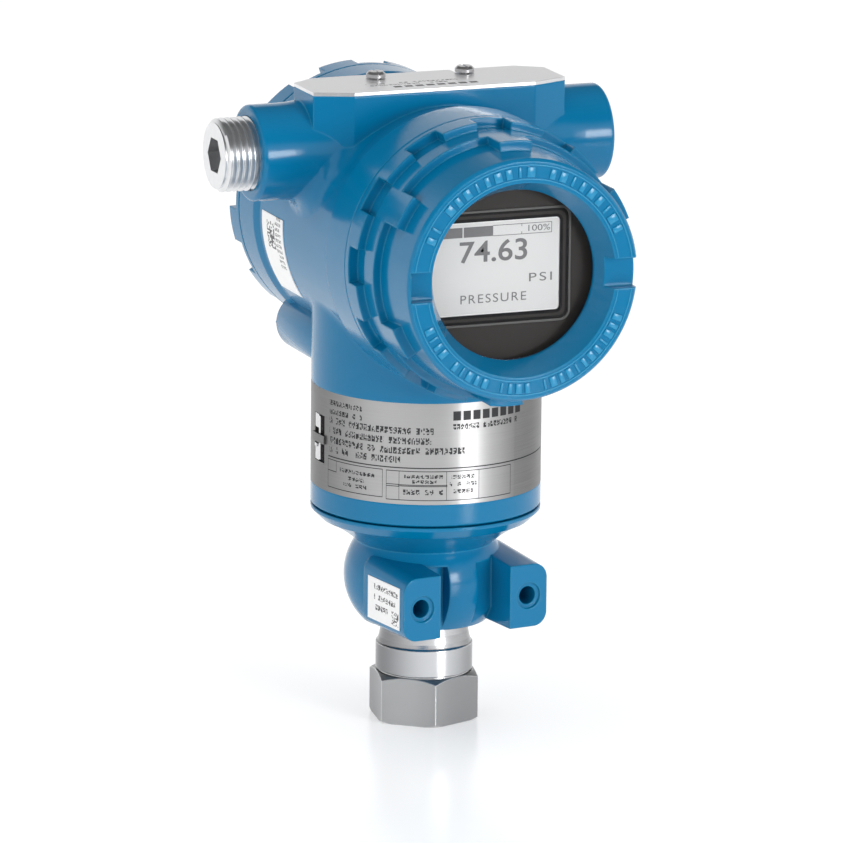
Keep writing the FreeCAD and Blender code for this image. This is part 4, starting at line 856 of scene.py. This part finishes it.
def ring_lines():
    """Four thin raised lines beside the marks, which stop at the ring's two notches."""
    shape = bmesh.new()
    for radius, notch in NOTCH_EDGE.items():
        for middle in (90, 270):
            points = [Vector((radius + out, rise, 0)) * MM for out, rise in LINE_SECTION]
            points.append(points[0])
            made = chain(shape, points)
            start = Matrix.Rotation(-math.radians(middle - 90 + notch), 3, "Y")
            bmesh.ops.rotate(shape, verts=made[:len(points)], matrix=start)
            bmesh.ops.spin(shape, geom=made, cent=(0, 0, 0), axis=(0, -1, 0),
                           angle=math.radians(180 - 2 * notch), steps=72)
    bmesh.ops.remove_doubles(shape, verts=shape.verts, dist=WELD)
    rims = [edge for edge in shape.edges if edge.is_boundary]
    bmesh.ops.holes_fill(shape, edges=rims)
    bmesh.ops.translate(shape, verts=shape.verts, vec=Vector((0, RING_FACE, BARREL_HEIGHT)))
    finished("ring_lines", shape, "front_cap", "mark_paint")


PLATE_STEPS = 6
SLOT_PLATES = [
    # A dark plate that paints the shadow in the slot.
    ("slot_shadow", "seal_rubber", "black_plastic", [(32.45, 32.6, 78.4, 92.1, 175.6, 12.0)]),
    ("slot_hook", "band_edge", "screw_steel", [
        (32.6, 33.15, 88.0, 92.0, 175.6, 5.4), (32.6, 33.15, 78.5, 83.2, 175.6, 5.4),
        (32.6, 33.3, 86.6, 91.7, 181.6, 1.9), (32.6, 33.3, 78.9, 83.9, 181.6, 1.9),
        (32.6, 33.6, 82.4, 83.4, 177.0, 3.0)]),
]


def arc_plate(shape, inner, outer, base, top, start, sweep):
    """A curved plate about the Z axis, in millimetres and degrees."""
    corners = [(inner, base), (outer, base), (outer, top), (inner, top)]
    spots = [shape.verts.new(Vector((radius, 0, height)) * MM) for radius, height in corners]
    face = shape.faces.new(spots)
    turn = Matrix.Rotation(math.radians(start), 3, "Z")
    bmesh.ops.rotate(shape, verts=spots, matrix=turn)
    bmesh.ops.spin(shape, geom=[face], cent=(0, 0, 0), axis=(0, 0, 1), angle=math.radians(sweep),
                   steps=PLATE_STEPS)


def band_slot():
    """A dark plate as painted shadow in the bottom of the band's slot, and the bent steel hook in it."""
    for name, finish, slot, plates in SLOT_PLATES:
        shape = bmesh.new()
        for plate in plates:
            arc_plate(shape, *plate)
        finished(name, shape, "upper_housing", finish)


GROUND_BOSS = Vector((-22.5, 25.0, 110.0)) * MM
GROUND_BOSS_RADIUS = 8.32 * MM
GROUND_BOSS_LENGTH = 33.9 * MM
GROUND_BOSS_EDGE = 0.6 * MM


def ground_boss_skin():
    """The smooth round outside of the boss that carries the ground screw."""
    shape = bmesh.new()
    bmesh.ops.create_cone(shape, cap_ends=True, segments=64, radius1=GROUND_BOSS_RADIUS,
                          radius2=GROUND_BOSS_RADIUS, depth=GROUND_BOSS_LENGTH)
    ends = [edge for edge in shape.edges if abs(edge.verts[0].co.z - edge.verts[1].co.z) < WELD]
    bmesh.ops.bevel(shape, geom=ends, affect="EDGES", offset=GROUND_BOSS_EDGE, segments=3, profile=0.5,
                    material=-1)
    bmesh.ops.rotate(shape, verts=shape.verts, matrix=Matrix.Rotation(math.pi / 2, 3, "X"))
    bmesh.ops.translate(shape, verts=shape.verts, vec=GROUND_BOSS)
    finished("ground_boss_skin", shape, "upper_housing", "blue_paint")


# Stage


FLOOR_GLOW = 0.36
CLOTH_HEIGHT = 2 * MM
LIGHT_AIM = Vector((0, 0, 0.11))
LIGHTS = [
    ("overhead", (-0.25, 0.1, 2.0), 2.6, 2.6, 24, False),
    ("key", (0.9, -1.9, 0.7), 1.1, 1.1, 13, False),
    ("fill_left", (-1.3, -0.8, 0.2), 1.0, 0.3, 6, False),
    ("strip_right", (0.68, -1.75, 0.3), 0.45, 0.5, 10, True),
]
ROOM_STOPS = [(0.0, 1.0), (0.36, 1.0), (0.5, 0.1), (1.0, 0.2)]


def staged_sheet(name, half_width, half_depth, place, material):
    """A flat sheet of the studio, which isn't part of the object."""
    shape = bmesh.new()
    made = bmesh.ops.create_grid(shape, x_segments=1, y_segments=1, size=1)["verts"]
    bmesh.ops.scale(shape, verts=made, vec=(half_width, half_depth, 1))
    bmesh.ops.translate(shape, verts=made, vec=place)
    sheet = shown(name, mesh_of(name, shape))
    sheet.data.materials.append(material)
    return sheet


def stage_floor():
    finish = Finish("floor_white")
    cloud = finish.noise(3, 2)
    finish.shade(Base_Color=finish.mix(cloud, (0.86, 0.86, 0.86), (0.88, 0.88, 0.88)), Roughness=0.24)
    finish.shade(Emission_Color=(1, 1, 1, 1), Emission_Strength=FLOOR_GLOW)
    staged_sheet("floor", 40, 40, (0, 0, 0), finish.material)


def dark_cloth():
    """A dark cloth in front of the table, seen only as what glossy paint mirrors."""
    finish = Finish("cloth_grey")
    weave = finish.noise(40, 2)
    finish.shade(Base_Color=finish.mix(weave, (0.05, 0.05, 0.05), (0.07, 0.07, 0.07)), Roughness=0.8)
    cloth = staged_sheet("dark_cloth", 4, 2, (0, -2.5, CLOTH_HEIGHT), finish.material)
    cloth.visible_camera = False
    cloth.visible_diffuse = False
    cloth.visible_shadow = False


def area_light(name, place, width, height, power, mirrored):
    """A soft lamp aimed at the middle of the object, mirrored by gloss or not."""
    lamp = bpy.data.lights.new(name, "AREA")
    lamp.energy = power
    lamp.shape = "RECTANGLE"
    lamp.size = width
    lamp.size_y = height
    light = shown(name, lamp)
    light.location = place
    light.rotation_euler = (LIGHT_AIM - Vector(place)).to_track_quat("-Z", "Y").to_euler()
    light.visible_glossy = mirrored


def studio_lights():
    for light in LIGHTS:
        area_light(*light)


def studio_room():
    """A white room up to a little above the table, and darker over it."""
    world = bpy.data.worlds.new("room")
    bpy.context.scene.world = world
    world.use_nodes = True
    tree = world.node_tree
    place = tree.nodes.new("ShaderNodeTexCoord")
    split = tree.nodes.new("ShaderNodeSeparateXYZ")
    ramp = tree.nodes.new("ShaderNodeValToRGB")
    tree.links.new(place.outputs["Generated"], split.inputs[0])
    tree.links.new(split.outputs["Z"], ramp.inputs[0])
    tree.links.new(ramp.outputs["Color"], tree.nodes["Background"].inputs["Color"])
    while len(ramp.color_ramp.elements) < len(ROOM_STOPS):
        ramp.color_ramp.elements.new(1)
    for element, (position, grey) in zip(ramp.color_ramp.elements, ROOM_STOPS):
        element.position = position
        element.color = (grey, grey, grey, 1)
    tree.nodes["Background"].inputs["Strength"].default_value = 1.0


def photo_camera():
    lens = bpy.data.cameras.new("camera")
    lens.sensor_width = SENSOR
    lens.lens = FOCAL_PIXELS * SENSOR / PHOTO_WIDTH
    lens.clip_start = 0.1
    lens.clip_end = 100
    camera = shown("camera", lens)
    back = Vector((math.sin(CAMERA_AZIMUTH) * math.cos(CAMERA_ELEVATION),
                   -math.cos(CAMERA_AZIMUTH) * math.cos(CAMERA_ELEVATION), math.sin(CAMERA_ELEVATION)))
    side = Vector((math.cos(CAMERA_AZIMUTH), math.sin(CAMERA_AZIMUTH), 0))
    up = back.cross(side)
    rolled = math.cos(CAMERA_ROLL) * side + math.sin(CAMERA_ROLL) * up
    above = back.cross(rolled)
    turn = Matrix((rolled, above, back)).transposed().to_4x4()
    camera.matrix_world = Matrix.Translation(CAMERA_AIM + CAMERA_DISTANCE * back) @ turn
    bpy.context.scene.camera = camera


photo_camera()
stage_floor()
dark_cloth()
studio_room()
studio_lights()
dress_nodes()
threaded_plug()
screen_readout()
display_frames()
ring_marks()
ring_lines()
band_slot()
ground_boss_skin()
bpy.context.scene.view_settings.view_transform = "Standard"
